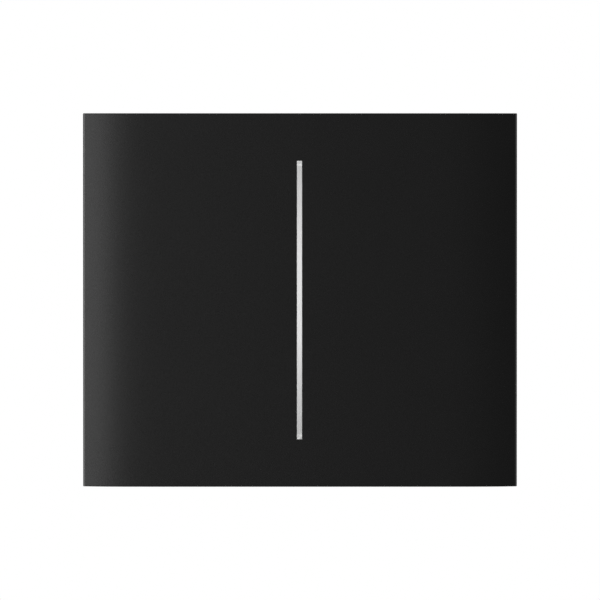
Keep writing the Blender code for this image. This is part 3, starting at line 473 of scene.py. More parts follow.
def stamp(bm, surface, outline, step, join=True):
    # raises a convex outline on a surface, or sinks it: step is its height, and how far its walls lean in
    axis, place = surface[:2]
    first, second = [number for number in range(3) if number != axis]
    area = facesOn(bm, surface)
    middle = [sum(point[k] for point in outline) / len(outline) for k in (0, 1)]
    for start, end in zip(outline, outline[1:] + outline[:1]):
        point, outward = Vector(), Vector()
        point[first], point[second] = start
        outward[first], outward[second] = end[1] - start[1], start[0] - end[0]
        if (middle[0] - start[0]) * outward[first] + (middle[1] - start[1]) * outward[second] > 0:
            outward.negate()
        outward.normalize()
        point[axis] = place
        faces = divided(bm, area, point, outward)
        area = [face for face in faces if (face.calc_center_median() - point).dot(outward) < 0]
    if len(area) > 1:
        area = bmesh.ops.dissolve_faces(bm, faces=area)["region"]
    bmesh.ops.inset_region(bm, faces=area, thickness=step[1], depth=step[0], use_even_offset=True)
    if join:  # a softened mesh isn't joined, because that comes out a little different each run
        flatten(bm)


def bevelEdges(bm, edges, width, segments=2):
    bmesh.ops.bevel(
        bm, geom=edges, offset=width, offset_type="OFFSET", segments=segments, profile=0.5,
        affect="EDGES", clamp_overlap=False, material=-1,
    )


def softenEdges(bm, width):
    hollow = [face for face in bm.faces if not all(loop.is_convex for loop in face.loops)]
    bmesh.ops.triangulate(bm, faces=hollow)  # a bevel meets fewer surprises on triangles
    closed = [edge for edge in bm.edges if edge.is_manifold]
    bevelEdges(bm, [edge for edge in closed if edge.calc_face_angle() > shaping["softTurn"]], width)


def turned(profile, centre=(0, 0), steps=48):
    # (radius, y) points spun round the line along Y through centre (x, z)
    bm = bmesh.new()
    points = [bm.verts.new((radius, y, 0)) for radius, y in profile]
    line = [bm.edges.new(pair) for pair in zip(points, points[1:])]
    bmesh.ops.spin(
        bm, geom=points + line, cent=(0, 0, 0), axis=(0, 1, 0), angle=2 * pi, steps=steps, use_merge=True,
    )
    bmesh.ops.remove_doubles(bm, verts=bm.verts, dist=speck)
    bmesh.ops.recalc_face_normals(bm, faces=bm.faces)
    bmesh.ops.translate(bm, vec=(centre[0], 0, centre[1]), verts=bm.verts)
    return bm


def profileFrom(level, way, points):
    # profile points from (radius, distance from the level) pairs in mm
    return [(radius * mm, level + way * distance * mm) for radius, distance in points]


def rounded(radius, level, way, steps):
    # profile points from the rim of a half-round end to its tip
    angles = [pi / 2 * k / steps for k in range(steps + 1)]
    return [(radius * cos(angle), level + way * radius * sin(angle)) for angle in angles]


def block(low, high):
    bm = bmesh.new()
    bmesh.ops.create_cube(bm, size=1)
    bmesh.ops.scale(bm, vec=Vector(high) - Vector(low), verts=bm.verts)
    bmesh.ops.translate(bm, vec=(Vector(high) + Vector(low)) / 2, verts=bm.verts)
    return bm


def carve(bm, *cutters):
    # takes closed shapes out of another
    shapes = [newObject("shape", newMesh("shape", source)) for source in (bm, *cutters)]
    for cutter in shapes[1:]:
        cut = shapes[0].modifiers.new("cut", "BOOLEAN")
        cut.operation = "DIFFERENCE"
        cut.object = cutter
    bpy.context.view_layer.update()
    carved = bpy.data.meshes.new_from_object(shapes[0].evaluated_get(bpy.context.evaluated_depsgraph_get()))
    result = bmesh.new()
    result.from_mesh(carved)
    for shape in shapes:
        bpy.data.objects.remove(shape)
    return result


thread = {"rows": 8, "flank": 1.35, "crest": 0.15}  # rows to a turn, and the shape of its groove


def threadRows(radius, start, end, pitch):
    # profile points close enough together to carry a thread
    count = ceil((end - start) / pitch * thread["rows"])
    return [(radius, start + (end - start) * step / count) for step in range(1, count)]


def cutThread(bm, centre, size, start, end):
    radius, pitch = size["radius"], size["pitch"]
    for vertex in bm.verts:
        x, y, z = vertex.co.x - centre[0], vertex.co.y, vertex.co.z - centre[1]
        if start < y < end and abs(hypot(x, z) - radius) < hair:
            phase = (y / pitch - atan2(z, x) / (2 * pi)) % 1
            fade = min(1, (y - start) / pitch, (end - y) / pitch)
            groove = max(0, min(1, thread["flank"] * abs(2 * phase - 1) - thread["crest"]))
            factor = 1 - size["threadDeep"] * groove * fade / radius
            vertex.co.x, vertex.co.z = centre[0] + x * factor, centre[1] + z * factor


def camel(node):
    first, *rest = node.split("_")
    return first + "".join(word.capitalize() for word in rest)


def slotOf(node):
    return next(row["material_slot"] for row in frame["record"]["subparts"] if row["node"] == node)


def makePiece(name, bm, body, slotName, nodes=(), sharpest=40, weighted=True):
    mesh = newMesh(name, bm)
    mesh.shade_smooth()
    mesh.set_sharp_from_angle(angle=radians(sharpest))
    piece = newObject(name, mesh)
    if weighted:
        normals = piece.modifiers.new("even shading", "WEIGHTED_NORMAL")
        normals.keep_sharp = True
        normals.weight = shaping["evenness"]
    mesh.materials.append(finish[slotName])
    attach(piece, body)
    if nodes:
        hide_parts(*nodes)
    return piece


def replaceNode(node, bm, **shading):
    # stands a shape in for a frame node, kept within the node's own box
    low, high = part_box(node)
    for vertex in bm.verts:
        vertex.co = [max(low[k], min(high[k], vertex.co[k])) for k in range(3)]
    name = camel(node) if "_" in node else node + "Body"
    return makePiece(name, bm, frame["nodes"][node]["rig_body"], slotOf(node), [node], **shading)


# Key: the black cap, its face rolling back towards both ends

key = {
    "face": -12.5 * mm, "faceReach": 0.9 * mm, "inside": -10.5 * mm, "sliver": 0.01 * mm * mm,
    "rollReach": 15.4 * mm, "rollDrop": 0.6 * mm, "rollPower": 4.5, "rollCuts": 36,
    "rollFrom": 18 * mm, "skirtAt": 28 * mm, "skirtFacing": 0.9, "skirtFrom": -6 * mm,
    "edge": 0.12 * mm, "rimAcross": 33.2 * mm, "rimUp": 28.5 * mm,
    "slotEdge": 0.03 * mm, "slotReach": 0.5 * mm, "slotAside": -0.075 * mm,
    "ribAt": (4, 10.5, 23, 29), "ribHalf": 0.35 * mm, "ribFrom": 24.1 * mm, "ribTo": 27.44 * mm,
    "ribStep": (2.4 * mm, 0.06 * mm),
}  # ribAt is in mm


def makeKeyCover():
    bm = mergedCopy("key_cover")
    lean(bm, -keyLean)
    halfWidth = max(vertex.co.x for vertex in bm.verts)
    for vertex in bm.verts:
        if vertex.co.y < key["face"] + key["faceReach"]:
            vertex.co.y = key["face"]
    slivers = [face for face in bm.faces if face.calc_area() < key["sliver"]]
    longest = [max(face.edges, key=lambda edge: edge.calc_length()) for face in slivers]
    bmesh.ops.dissolve_edges(bm, edges=longest)
    flatten(bm)
    for side, end in quarters:
        up = (end * key["ribFrom"], end * key["ribTo"])
        for place in key["ribAt"]:
            outline = rectangle(around(side * place * mm, key["ribHalf"]), up)
            stamp(bm, facingBack(key["inside"]), outline, key["ribStep"])
    rollFace(bm, halfWidth)
    for vertex in bm.verts:
        if abs(vertex.co.x) < key["slotReach"]:
            vertex.co.x += key["slotAside"]
    slot = foldsWhere(bm, lambda point: abs(point.x) < mm and abs(point.y - key["face"]) < hair)
    rim = foldsWhere(bm, lambda point: abs(point.x) > key["rimAcross"] or abs(point.z) > key["rimUp"])
    bevelEdges(bm, slot, key["slotEdge"])
    bevelEdges(bm, rim, key["edge"], segments=3)
    lean(bm, keyLean)
    replaceNode("key_cover", bm)


def slants(edge):
    # lies in the level face, but neither along nor across it
    way = edge.verts[1].co - edge.verts[0].co
    return abs(edge.verts[0].co.y - key["face"]) < hair and abs(way.y) < hair < min(abs(way.x), abs(way.z))


def rollFace(bm, halfWidth):
    reach, count = key["rollReach"], key["rollCuts"]
    places = [halfWidth - reach * (1 - step / count) for step in range(count - 1)]
    outer = facesOn(bm, facingFront(key["face"]))
    for face in bm.faces:
        if abs(face.normal.z) > key["skirtFacing"] and abs(face.calc_center_median().z) > key["skirtAt"]:
            outer.append(face)
    cutAcross(bm, 0, [side * place for place in places for side in (-1, 1)], outer)
    far = [edge for edge in bm.edges if all(abs(vertex.co.x) > key["rollFrom"] for vertex in edge.verts)]
    bmesh.ops.dissolve_edges(bm, edges=[edge for edge in far if slants(edge)], use_verts=True)
    skirt = max(vertex.co.z for vertex in bm.verts if vertex.co.y > key["skirtFrom"])
    draft = max(vertex.co.z for vertex in bm.verts) - skirt
    slope = draft / (max(vertex.co.y for vertex in bm.verts) - key["face"])
    for vertex in bm.verts:
        share = 1 - (halfWidth - abs(vertex.co.x)) / reach
        if share > 0 and abs(vertex.co.y - key["face"]) < hair:
            drop = key["rollDrop"] * share ** key["rollPower"]
            vertex.co.y += drop
            vertex.co.z -= drop * slope * (1 if vertex.co.z > 0 else -1)  # stays on the sloping skirt


makeKeyCover()
print("key cover made")


# Light bar

lightBar = {
    "face": -12.53 * mm, "edge": 0.03 * mm, "halfWidth": 0.42 * mm, "narrower": 0.94, "endPiece": 0.6 * mm,
    "markReach": 0.3 * mm, "markHalf": 0.07 * mm, "markStep": (-0.04 * mm, 0.02 * mm),
}


def makeLightBar():
    bm = mergedCopy("light_bar")
    lean(bm, -keyLean)
    middle = key["slotAside"]
    for vertex in bm.verts:
        if abs(abs(vertex.co.x) - lightBar["halfWidth"]) < hair:
            vertex.co.x = vertex.co.x * lightBar["narrower"] + middle
    softenEdges(bm, lightBar["edge"])
    for end in (-1, 1):
        level = end * (guide["halfLength"] - lightBar["endPiece"])
        outline = rectangle(around(middle, lightBar["markReach"]), around(level, lightBar["markHalf"]))
        stamp(bm, facingFront(lightBar["face"]), outline, lightBar["markStep"])
    lean(bm, keyLean)
    replaceNode("light_bar", bm)


makeLightBar()
print("light bar made")


# Carrier: the rocking tray behind the key

carrier = {
    "plateBack": -8.4 * mm, "plateFront": -10.2 * mm, "edge": 0.08 * mm,
    "panel": ((13.6, 24.4), (5.2, 17.0)), "panelStep": (-0.5 * mm, 0.15 * mm),
    "coring": (
        ((3.0, 12.2), (1.4, 10.4)), ((3.0, 12.2), (12.0, 21.2)),
        ((13.2, 24.2), (5.4, 16.4)), ((20.0, 28.4), (17.8, 21.2)),
    ),
    "coringStep": (-0.4 * mm, 0.12 * mm),
    "marks": ((7.2, 14, 1.5), (26.9, 12, 1.2)), "markStep": (-0.12 * mm, 0.03 * mm),
    "postAt": 10 * mm, "postEnd": 4.5 * mm, "postReach": 3 * mm,
    "cutsAcross": (4.5,), "cutsUp": (17.2, 20.9),
}  # panels as spans in x and z, marks as x, z and radius, and cuts are all in mm


def makeCarrier():
    bm = mergedCopy("key_carrier")
    lean(bm, -keyLean)
    back, front = facingBack(carrier["plateBack"]), facingFront(carrier["plateFront"])
    post = facingBack(carrier["postEnd"])
    for side in (-1, 1):
        for end in (-1, 1):
            stamp(bm, back, mirrored(side, end, *carrier["panel"]), carrier["panelStep"])
            for spans in carrier["coring"]:
                stamp(bm, front, mirrored(side, end, *spans), carrier["coringStep"])
            for x, z, radius in carrier["marks"]:
                stamp(bm, back, ring((side * x * mm, end * z * mm), radius * mm), carrier["markStep"])
        bridgeRound(bm, post, (side * carrier["postAt"], 0), carrier["postReach"])
    cutBetween(bm, back, carrier["cutsAcross"], carrier["cutsUp"])
    softenEdges(bm, carrier["edge"])
    lean(bm, keyLean)
    replaceNode("key_carrier", bm)


makeCarrier()
print("carrier made")


# Front frame: the plate that snaps into the wall frame

frontFrame = {
    "plateBack": -0.3 * mm, "plateFront": -3.0 * mm, "edge": 0.09 * mm, "corner": 0.5 * mm,
    "cornerAcross": 33.6 * mm, "cornerUp": 24 * mm,
    "panelAcross": (17.7, 27.3), "panelUp": ((0.6, 9.2), (10.4, 18.8)), "panelStep": (-0.9 * mm, 0.12 * mm),
    "sidePanel": ((28.8, 32.2), (-7.4, 7.4)), "sideStep": (-0.6 * mm, 0.12 * mm),
    "frontPanel": ((17.2, 31.0), (5.0, 17.2)), "frontStep": (-0.4 * mm, 0.1 * mm),
    "mark": 1.5 * mm, "markStep": (-0.12 * mm, 0.03 * mm),
    "cutsAcross": (5.7, 16.2, 27.8), "cutsUp": (0, 8.2, 19.8),
}  # panels as spans in x and z, and cuts are in mm


def makeFrontFrame():
    bm = mergedCopy("front_frame")
    back, front = facingBack(frontFrame["plateBack"]), facingFront(frontFrame["plateFront"])
    sunk = facingBack(frontFrame["plateBack"] + frontFrame["panelStep"][0])
    across = frontFrame["panelAcross"]
    for side in (-1, 1):
        for end in (-1, 1):
            for up in frontFrame["panelUp"]:
                stamp(bm, back, mirrored(side, end, across, up), frontFrame["panelStep"])
                mark = ring((side * sum(across) / 2 * mm, end * sum(up) / 2 * mm), frontFrame["mark"])
                stamp(bm, sunk, mark, frontFrame["markStep"])
        stamp(bm, back, mirrored(side, 1, *frontFrame["sidePanel"]), frontFrame["sideStep"])
        for end in (-1, 1):
            stamp(bm, front, mirrored(side, end, *frontFrame["frontPanel"]), frontFrame["frontStep"])
    for surface in (back, front):
        cutBetween(bm, surface, frontFrame["cutsAcross"], frontFrame["cutsUp"])
    corners = cornerEdges(bm, frontFrame["cornerAcross"], frontFrame["cornerUp"])
    bevelEdges(bm, corners, frontFrame["corner"], segments=3)
    softenEdges(bm, frontFrame["edge"])
    replaceNode("front_frame", bm)


def cornerEdges(bm, x, z):
    # edges along Y at the four outer corners
    found = []
    for edge in bm.edges:
        middle, way = middleOf(edge), edge.verts[1].co - edge.verts[0].co
        atCorner = abs(abs(middle.x) - x) < hair and abs(abs(middle.z) - z) < hair
        if atCorner and abs(way.y) > way.length * shaping["straight"]:
            found.append(edge)
    return found


makeFrontFrame()
print("front frame made")


# Housing: the dark body with four wire entries and four screw mouths

housing = {
    "corner": 0.8 * mm, "edge": 0.1 * mm, "upright": 0.01,
    "partingAt": 7.4 * mm, "partingWide": 0.36 * mm, "partingDeep": 0.24 * mm,
    "entryAcross": (6.9 * mm, 13.1 * mm), "entryBack": (10 * mm, 17 * mm), "entryChamfer": 0.55 * mm,
    "mouthAcross": 10 * mm, "mouthUp": 16.1 * mm, "mouthReach": 2.4 * mm, "mouthChamfer": 0.3 * mm,
    "grooves": 6, "groovePitch": 5.4 * mm, "grooveHalf": 2.05 * mm, "grooveBack": (10.2 * mm, 22.4 * mm),
    "grooveStep": (-0.45 * mm, 0.15 * mm),
    "latchAt": (-12 * mm, 12 * mm), "latchHalf": 2.4 * mm, "latchBack": (2.2 * mm, 5.6 * mm),
    "latchStep": (-0.6 * mm, 0.05 * mm),
    "endHalf": 4.6 * mm, "endBack": (10 * mm, 21 * mm), "endStep": (-0.3 * mm, 0.12 * mm),
    "backCutsAcross": (0, 5.0, 15.2), "backCutsUp": (12.6, 21.2), "frontCutsAcross": (15.2,),
}  # the cuts are in mm


def makeHousing():
    bm = mergedCopy("housing")
    low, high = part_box("housing")
    bevelEdges(bm, cornerEdges(bm, high.x, high.z), housing["corner"], segments=4)
    chamferMouths(bm, high)
    for side in (-1, 1):
        for level in spaced(housing["grooves"], housing["groovePitch"]):
            outline = rectangle(housing["grooveBack"], around(level, housing["grooveHalf"]))
            stamp(bm, (0, side * high.x, side), outline, housing["grooveStep"])
        for level in housing["latchAt"]:
            outline = rectangle(housing["latchBack"], around(level, housing["latchHalf"]))
            stamp(bm, (0, side * high.x, side), outline, housing["latchStep"])
    for end in (-1, 1):
        outline = rectangle(around(0, housing["endHalf"]), housing["endBack"])
        stamp(bm, (2, end * high.z, end), outline, housing["endStep"])
    cutParting(bm, high)
    cutBetween(bm, facingBack(high.y), housing["backCutsAcross"], housing["backCutsUp"])
    cutBetween(bm, facingFront(low.y), housing["frontCutsAcross"])
    softenEdges(bm, housing["edge"])
    markBack(bm, facingBack(high.y))
    replaceNode("housing", bm)


def chamferMouths(bm, high):
    (inner, outer), (near, far) = housing["entryAcross"], housing["entryBack"]
    across, up = housing["mouthAcross"], housing["mouthUp"]
    entries, mouths = [], []
    for edge in foldsWhere(bm, lambda point: abs(abs(point.z) - high.z) < hair):
        middle = middleOf(edge)
        if inner < abs(middle.x) < outer and near < middle.y < far:
            entries.append(edge)
    for edge in foldsWhere(bm, lambda point: abs(point.y - high.y) < hair):
        middle = middleOf(edge)
        if hypot(abs(middle.x) - across, abs(middle.z) - up) < housing["mouthReach"]:
            mouths.append(edge)
    bevelEdges(bm, entries, housing["entryChamfer"], segments=1)
    bevelEdges(bm, mouths, housing["mouthChamfer"], segments=1)


backMarks = {
    "pointerTip": 11.6 * mm, "pointerBase": 10.0 * mm, "pointerHalf": 0.9 * mm,
    "pointerStep": (-0.2 * mm, 0.03 * mm),
    "label": ((-11, 11), (-6.4, 8.4)), "labelStep": (-0.3 * mm, 0.12 * mm),
    "gauge": ((-5, 5), (-10.2, -8.8)), "gaugeStep": (-0.5 * mm, 0.1 * mm),
    "collar": 3.5 * mm, "collarStep": (-0.25 * mm, 0.1 * mm),
}  # the label field and the gauge are spans in x and z, in mm


def markBack(bm, back):
    # a pointer and a collar at each screw mouth, a blank label field and a stripping gauge
    x, z, half = housing["mouthAcross"], housing["mouthUp"], backMarks["pointerHalf"]
    for side, end in quarters:
        tip, base = end * backMarks["pointerTip"], end * backMarks["pointerBase"]
        pointer = [(side * x, tip), (side * x - half, base), (side * x + half, base)]
        stamp(bm, back, pointer, backMarks["pointerStep"], join=False)
    stamp(bm, back, mirrored(1, 1, *backMarks["label"]), backMarks["labelStep"], join=False)
    stamp(bm, back, mirrored(1, 1, *backMarks["gauge"]), backMarks["gaugeStep"], join=False)
    for side, end in quarters:
        collar = ring((side * x, end * z), backMarks["collar"], count=32)
        stamp(bm, back, collar, backMarks["collarStep"], join=False)


def cutParting(bm, high):
    # the fine groove round the sides, where the two halves of the mould met
    start, end = housing["partingAt"], housing["partingAt"] + housing["partingWide"]
    upright = [face for face in bm.faces if abs(face.normal.y) < housing["upright"]]
    outside = [face for face in upright if touchesSkin(face, high)]
    faces = cutAcross(bm, 1, (start, end), outside)
    band = [face for face in faces if start < face.calc_center_median().y < end]
    made = bmesh.ops.extrude_face_region(bm, geom=band)
    bmesh.ops.delete(bm, geom=band, context="FACES")
    verts = [item for item in made["geom"] if isinstance(item, bmesh.types.BMVert)]
    deep = housing["partingDeep"]
    bmesh.ops.scale(bm, vec=(1 - deep / high.x, 1, 1 - deep / high.z), verts=verts)


def touchesSkin(face, high):
    points = [vertex.co for vertex in face.verts]
    flatX = all(abs(abs(point.x) - high.x) < hair for point in points)
    flatZ = all(abs(abs(point.z) - high.z) < hair for point in points)
    corner = all(abs(point.x) > high.x - mm and abs(point.z) > high.z - mm for point in points)
    return flatX or flatZ or corner


makeHousing()
print("housing made")


# Screws: each end is given as how far in from the radius and how far along, in mm

clampScrew = {
    "radius": 1.7 * mm, "pitch": 0.6 * mm, "threadDeep": 0.3 * mm, "plain": 0.3 * mm,
    "tip": ((0.5, 0), (0.1, 0.4), (0, 0.55)),
    "headRadius": 2.5 * mm, "head": 1.8 * mm, "headEdge": 0.12 * mm,
    "crown": ((0, 0.55), (0.1, 0.25), (0.35, 0.07), (0.75, 0)),
    "slotWide": 0.8 * mm, "slotDeep": 0.9 * mm, "crossLong": 3.0 * mm, "crossDeep": 0.8 * mm,
}


def stepped(radius, level, way, steps):
    return [(radius - inward * mm, level + way * distance * mm) for inward, distance in steps]


def makeClampScrew(node):
    low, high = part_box(node)
    x, z = centreOf(node)
    size = clampScrew
    radius, rim, edge = size["radius"], size["headRadius"], size["headEdge"]
    tip, top, under = low.y, high.y, high.y - size["head"]
    profile = [(0, tip), *stepped(radius, tip, 1, size["tip"])]
    start, stop = profile[-1][1], under - size["plain"]
    profile += [*threadRows(radius, start, stop, size["pitch"]), (radius, stop), (radius, under)]
    profile += [(rim - edge, under), (rim, under + edge), *stepped(rim, top, -1, size["crown"]), (0, top)]
    bm = turned(profile, (x, z))
    cutThread(bm, (x, z), size, start, stop)
    past, half = shaping["past"], size["slotWide"] / 2
    bottom, crossBottom, reach = top - size["slotDeep"], top - size["crossDeep"], size["crossLong"] / 2
    slot = block((low.x - past, bottom, z - half), (high.x + past, top + past, z + half))
    cross = block((x - half, crossBottom, z - reach), (x + half, top + past, z + reach))
    replaceNode(node, carve(bm, slot, cross), sharpest=32, weighted=False)


frameScrew = {
    "radius": 1.3 * mm, "pitch": 1.0 * mm, "threadDeep": 0.32 * mm, "plain": 0.4 * mm,
    "pointLong": 0.7 * mm, "pointShare": 0.55,
    "headRadius": 2.6 * mm, "head": 1.3 * mm, "headEdge": 0.1 * mm,
    "crown": ((1.0, 0.02), (0.35, 0.18), (0.08, 0.45), (0, 0.75)),
    "slotWide": 0.8 * mm, "slotDeep": 0.7 * mm,
}


def makeFrameScrew(node):
    low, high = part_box(node)
    x, z = centreOf(node)
    size = frameScrew
    radius, rim, edge = size["radius"], size["headRadius"], size["headEdge"]
    top, tip, under = low.y, high.y, low.y + size["head"]
    start, stop = under + size["plain"], tip - size["pointLong"]
    profile = [(0, top), *stepped(rim, top, 1, size["crown"]), (rim, under - edge), (rim - edge, under)]
    profile += [(radius, under), (radius, start), *threadRows(radius, start, stop, size["pitch"])]
    profile += [(radius, stop), (radius * size["pointShare"], tip), (0, tip)]
    bm = turned(profile, (x, z), steps=40)
    cutThread(bm, (x, z), size, start, stop)
    past, half, bottom = shaping["past"], size["slotWide"] / 2, top + size["slotDeep"]
    slot = block((low.x - past, top - past, z - half), (high.x + past, bottom, z + half))
    replaceNode(node, carve(bm, slot), sharpest=32, weighted=False)


for row in rows:
    makeFrameScrew(f"frame_screw_{row}")
    for side in sides:
        makeClampScrew(f"clamp_screw_{row}_{side}")
print("screws made")


# Terminal cages: folded steel, grooved where they grip the wire

cage = {
    "bend": 0.45 * mm, "edge": 0.05 * mm, "wall": 1.0 * mm, "grooves": 5, "groovePitch": 1.1 * mm,
    "grooveReach": 2.2 * mm, "grooveHalf": 0.18 * mm, "grooveStep": (-0.15 * mm, 0.08 * mm),
}


def makeCage(node):
    bm = mergedCopy(node)
    low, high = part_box(node)
    x, z = centreOf(node)
    folds = []
    for edge in bm.edges:
        start, end = [vertex.co for vertex in edge.verts]
        atSide = all(min(abs(point.x - low.x), abs(point.x - high.x)) < hair for point in (start, end))
        atBack = all(min(abs(point.y - low.y), abs(point.y - high.y)) < hair for point in (start, end))
        if atSide and atBack and abs(start.z - end.z) > mm:
            folds.append(edge)
    bevelEdges(bm, folds, cage["bend"], segments=4)
    for step in spaced(cage["grooves"], cage["groovePitch"]):
        outline = rectangle(around(x, cage["grooveReach"]), around(z + step, cage["grooveHalf"]))
        stamp(bm, facingBack(low.y + cage["wall"]), outline, cage["grooveStep"])
    softenEdges(bm, cage["edge"])
    replaceNode(node, bm)


for row in rows:
    for side in sides:
        makeCage(f"terminal_cage_{row}_{side}")
print("cages made")


# Plungers and their springs, in the posts behind the key

plunger = {
    "foot": ((0, 0.25), (0.7, 0.25), (0.8, 0), (1.4, 0), (1.5, 0.12)),
    "taper": ((1.5, 2.55), (1.45, 2.35), (1.24, 1.3), (1.2, 1.05)),
    "nose": 1.2 * mm,
}  # foot and taper: radius, and distance from its end or from the middle of its nose, in mm


def makePlunger(side):
    node = f"toggle_plunger_{side}"
    low, high = levelBox(node)
    middle = high.y - plunger["nose"]
    profile = profileFrom(low.y, 1, plunger["foot"]) + profileFrom(middle, -1, plunger["taper"])
    profile += rounded(plunger["nose"], middle, 1, steps=9)
    bm = turned(profile, ((low.x + high.x) / 2, 0))
    lean(bm, keyLean)
    replaceNode(node, bm, sharpest=50)


spring = {
    "wire": 0.4 * mm, "radius": 1.3 * mm, "openTurns": 5.5, "closedTurns": 1.1, "closedRise": 1.02,
    "steps": 28, "round": 12,
}  # closedRise is in wire thicknesses to a turn


def makeSpring(side):
    node, joint = f"toggle_spring_{side}", f"plunger_slide_{side}"
    low, high = levelBox(node)
    middle, wire, closedTurns = (low.x + high.x) / 2, spring["wire"], spring["closedTurns"]
    start, end = low.y + wire / 2, high.y - wire / 2
    closed = closedTurns * wire * spring["closedRise"]
    stages = ((closedTurns, closed), (spring["openTurns"], end - start - 2 * closed), (closedTurns, closed))
    bm = bmesh.new()
    bmesh.ops.create_circle(bm, cap_ends=True, segments=spring["round"], radius=wire / 2)
    bmesh.ops.translate(bm, vec=(spring["radius"], start, 0), verts=bm.verts)
    last = bm.verts[:] + bm.edges[:] + bm.faces[:]
    for turns, rise in stages:
        steps = round(turns * spring["steps"])
        spun = bmesh.ops.spin(
            bm, geom=last, cent=(0, start, 0), axis=(0, 1, 0), dvec=(0, rise / steps, 0),
            angle=2 * pi * turns, steps=steps,
        )
        last = spun["geom_last"]
    bmesh.ops.remove_doubles(bm, verts=bm.verts, dist=speck)
    bmesh.ops.recalc_face_normals(bm, faces=bm.faces)
    bmesh.ops.translate(bm, vec=(middle, 0, 0), verts=bm.verts)
    lean(bm, keyLean)
    piece = replaceNode(node, bm, sharpest=50, weighted=False)
    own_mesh(piece)


for side in sides:
    makePlunger(side)
    makeSpring(side)
print("plungers and springs made")


# Locator lamp and its resistor

lamp = {
    "radius": 1.5 * mm, "rim": 1.9 * mm, "rimThick": 0.4 * mm,
    "backEdge": 0.05 * mm, "frontEdge": 0.08 * mm,
}
resistor = {"capWide": 0.45 * mm, "capEdge": 0.07 * mm, "bodyLower": 0.03 * mm, "bodyEdge": 0.04 * mm}


def makeLamp():
    low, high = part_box("locator_lamp")
    back, front, rim = high.y, high.y - lamp["rimThick"], lamp["rim"]
    backEdge, frontEdge = lamp["backEdge"], lamp["frontEdge"]
    profile = [(0, back), (rim - backEdge, back), (rim, back - backEdge)]
    profile += [(rim, front + frontEdge), (rim - frontEdge, front), (lamp["radius"], front)]
    profile += rounded(lamp["radius"], low.y + lamp["radius"], -1, steps=10)
    replaceNode("locator_lamp", turned(profile), sharpest=50)


def makeResistor():
    low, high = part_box("lamp_resistor")
    wide = resistor["capWide"]
    body = block(low + Vector((wide, 0, 0)), high - Vector((wide, resistor["bodyLower"], 0)))
    softenEdges(body, resistor["bodyEdge"])
    replaceNode("lamp_resistor", body)
    for side, way in sides.items():
        left, right = sorted((way * high.x, way * (high.x - wide)))
        cap = block((left, low.y, low.z), (right, high.y, high.z))
        softenEdges(cap, resistor["capEdge"])
        makePiece(f"resistorCap{side.capitalize()}", cap, "base", "silver")


makeLamp()
makeResistor()
print("lamp and resistor made")


# Contacts: riveted silver buttons with rounded faces

rivet = {
    "shank": ((0, 1.6), (0.48, 1.6), (0.6, 1.48), (0.6, 0.7)),
    "button": ((1.42, 0.7), (1.5, 0.62), (1.5, 0.48), (1.44, 0.3), (1.25, 0.14), (0.8, 0.03), (0, 0)),
}  # radius and distance behind the contact face, in mm


def makeRivet(node):
    bm = mergedCopy(node)
    bm.normal_update()
    top = max(bm.faces, key=lambda face: face.calc_area())
    place, way = top.calc_center_bounds(), top.normal.copy()
    bm.free()
    bm = turned(profileFrom(0, -1, rivet["shank"] + rivet["button"]), steps=40)
    turn = Vector((0, 1, 0)).rotation_difference(way).to_matrix()
    bmesh.ops.rotate(bm, cent=(0, 0, 0), matrix=turn, verts=bm.verts)
    bmesh.ops.translate(bm, vec=place, verts=bm.verts)
    replaceNode(node, bm, sharpest=50)


for side in sides:
    makeRivet(f"fixed_contact_{side}")
    makeRivet(f"lever_contact_{side}")
print("contacts made")


# Brass strips, gripping ribs pressed in where the wire lies

strip = {
    "wireFace": 15.73 * mm, "outerFace": 16.53 * mm, "edge": 0.05 * mm, "ribs": 3, "ribPitch": 1.3 * mm,
    "ribHalf": 0.2 * mm, "ribReach": 1.9 * mm, "ribStep": (-0.14 * mm, 0.08 * mm),
    "beadHalf": 0.66 * mm, "beadStep": (-0.22 * mm, 0.16 * mm),
    "bracketBeads": ((4.4 * mm, 12.2 * mm), (-2.2 * mm, 2.2 * mm)),
    "fixedBeads": ((-18.2 * mm, -12.6 * mm),),
}


def makeStrip(node, end, beads):
    bm = mergedCopy(node)
    middle = centreOf(node)[0]
    for step in spaced(strip["ribs"], strip["ribPitch"]):
        up = around(end * housing["mouthUp"] + step, strip["ribHalf"])
        outline = rectangle(around(middle, strip["ribReach"]), up)
        stamp(bm, facingFront(strip["wireFace"]), outline, strip["ribStep"])
    for up in beads:
        outline = rectangle(around(middle, strip["beadHalf"]), up)
        stamp(bm, facingBack(strip["outerFace"]), outline, strip["beadStep"])
    softenEdges(bm, strip["edge"])
    replaceNode(node, bm)


for side in sides:
    makeStrip(f"common_bracket_{side}", 1, strip["bracketBeads"])
    makeStrip(f"fixed_strip_{side}", -1, strip["fixedBeads"])
print("strips made")


# Board, leads and levers: the frame's own shapes with soft edges, and solder where leads meet the board

board = {
    "edge": 0.06 * mm, "fineEdge": 0.05 * mm,
    "holeAt": (-5.6 * mm, 5.6 * mm), "hole": 0.75 * mm, "holeStep": (-0.3 * mm, 0.02 * mm),
}
solder = {
    "foot": ((0, -0.1), (0.75, -0.1), (0.75, 0.02), (0.6, 0.06)),
    "cone": ((0.42, 0.14), (0.25, 0.22), (0.1, 0.25), (0, 0.25)),
    "leadAcross": 3.2 * mm, "leadUp": -3.0 * mm, "lampAcross": 1.1 * mm, "lampUp": 0.6 * mm,
}  # foot and cone: radius and height over the board, in mm


def makeBoard():
    bm = mergedCopy("lamp_board")
    low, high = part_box("lamp_board")
    for level in board["holeAt"]:
        for surface in (facingBack(high.y), facingFront(low.y)):
            stamp(bm, surface, ring((0, level), board["hole"], count=24), board["holeStep"])
    softenEdges(bm, board["edge"])
    replaceNode("lamp_board", bm)


def softenNode(node):
    bm = mergedCopy(node)
    softenEdges(bm, board["fineEdge"])
    replaceNode(node, bm)


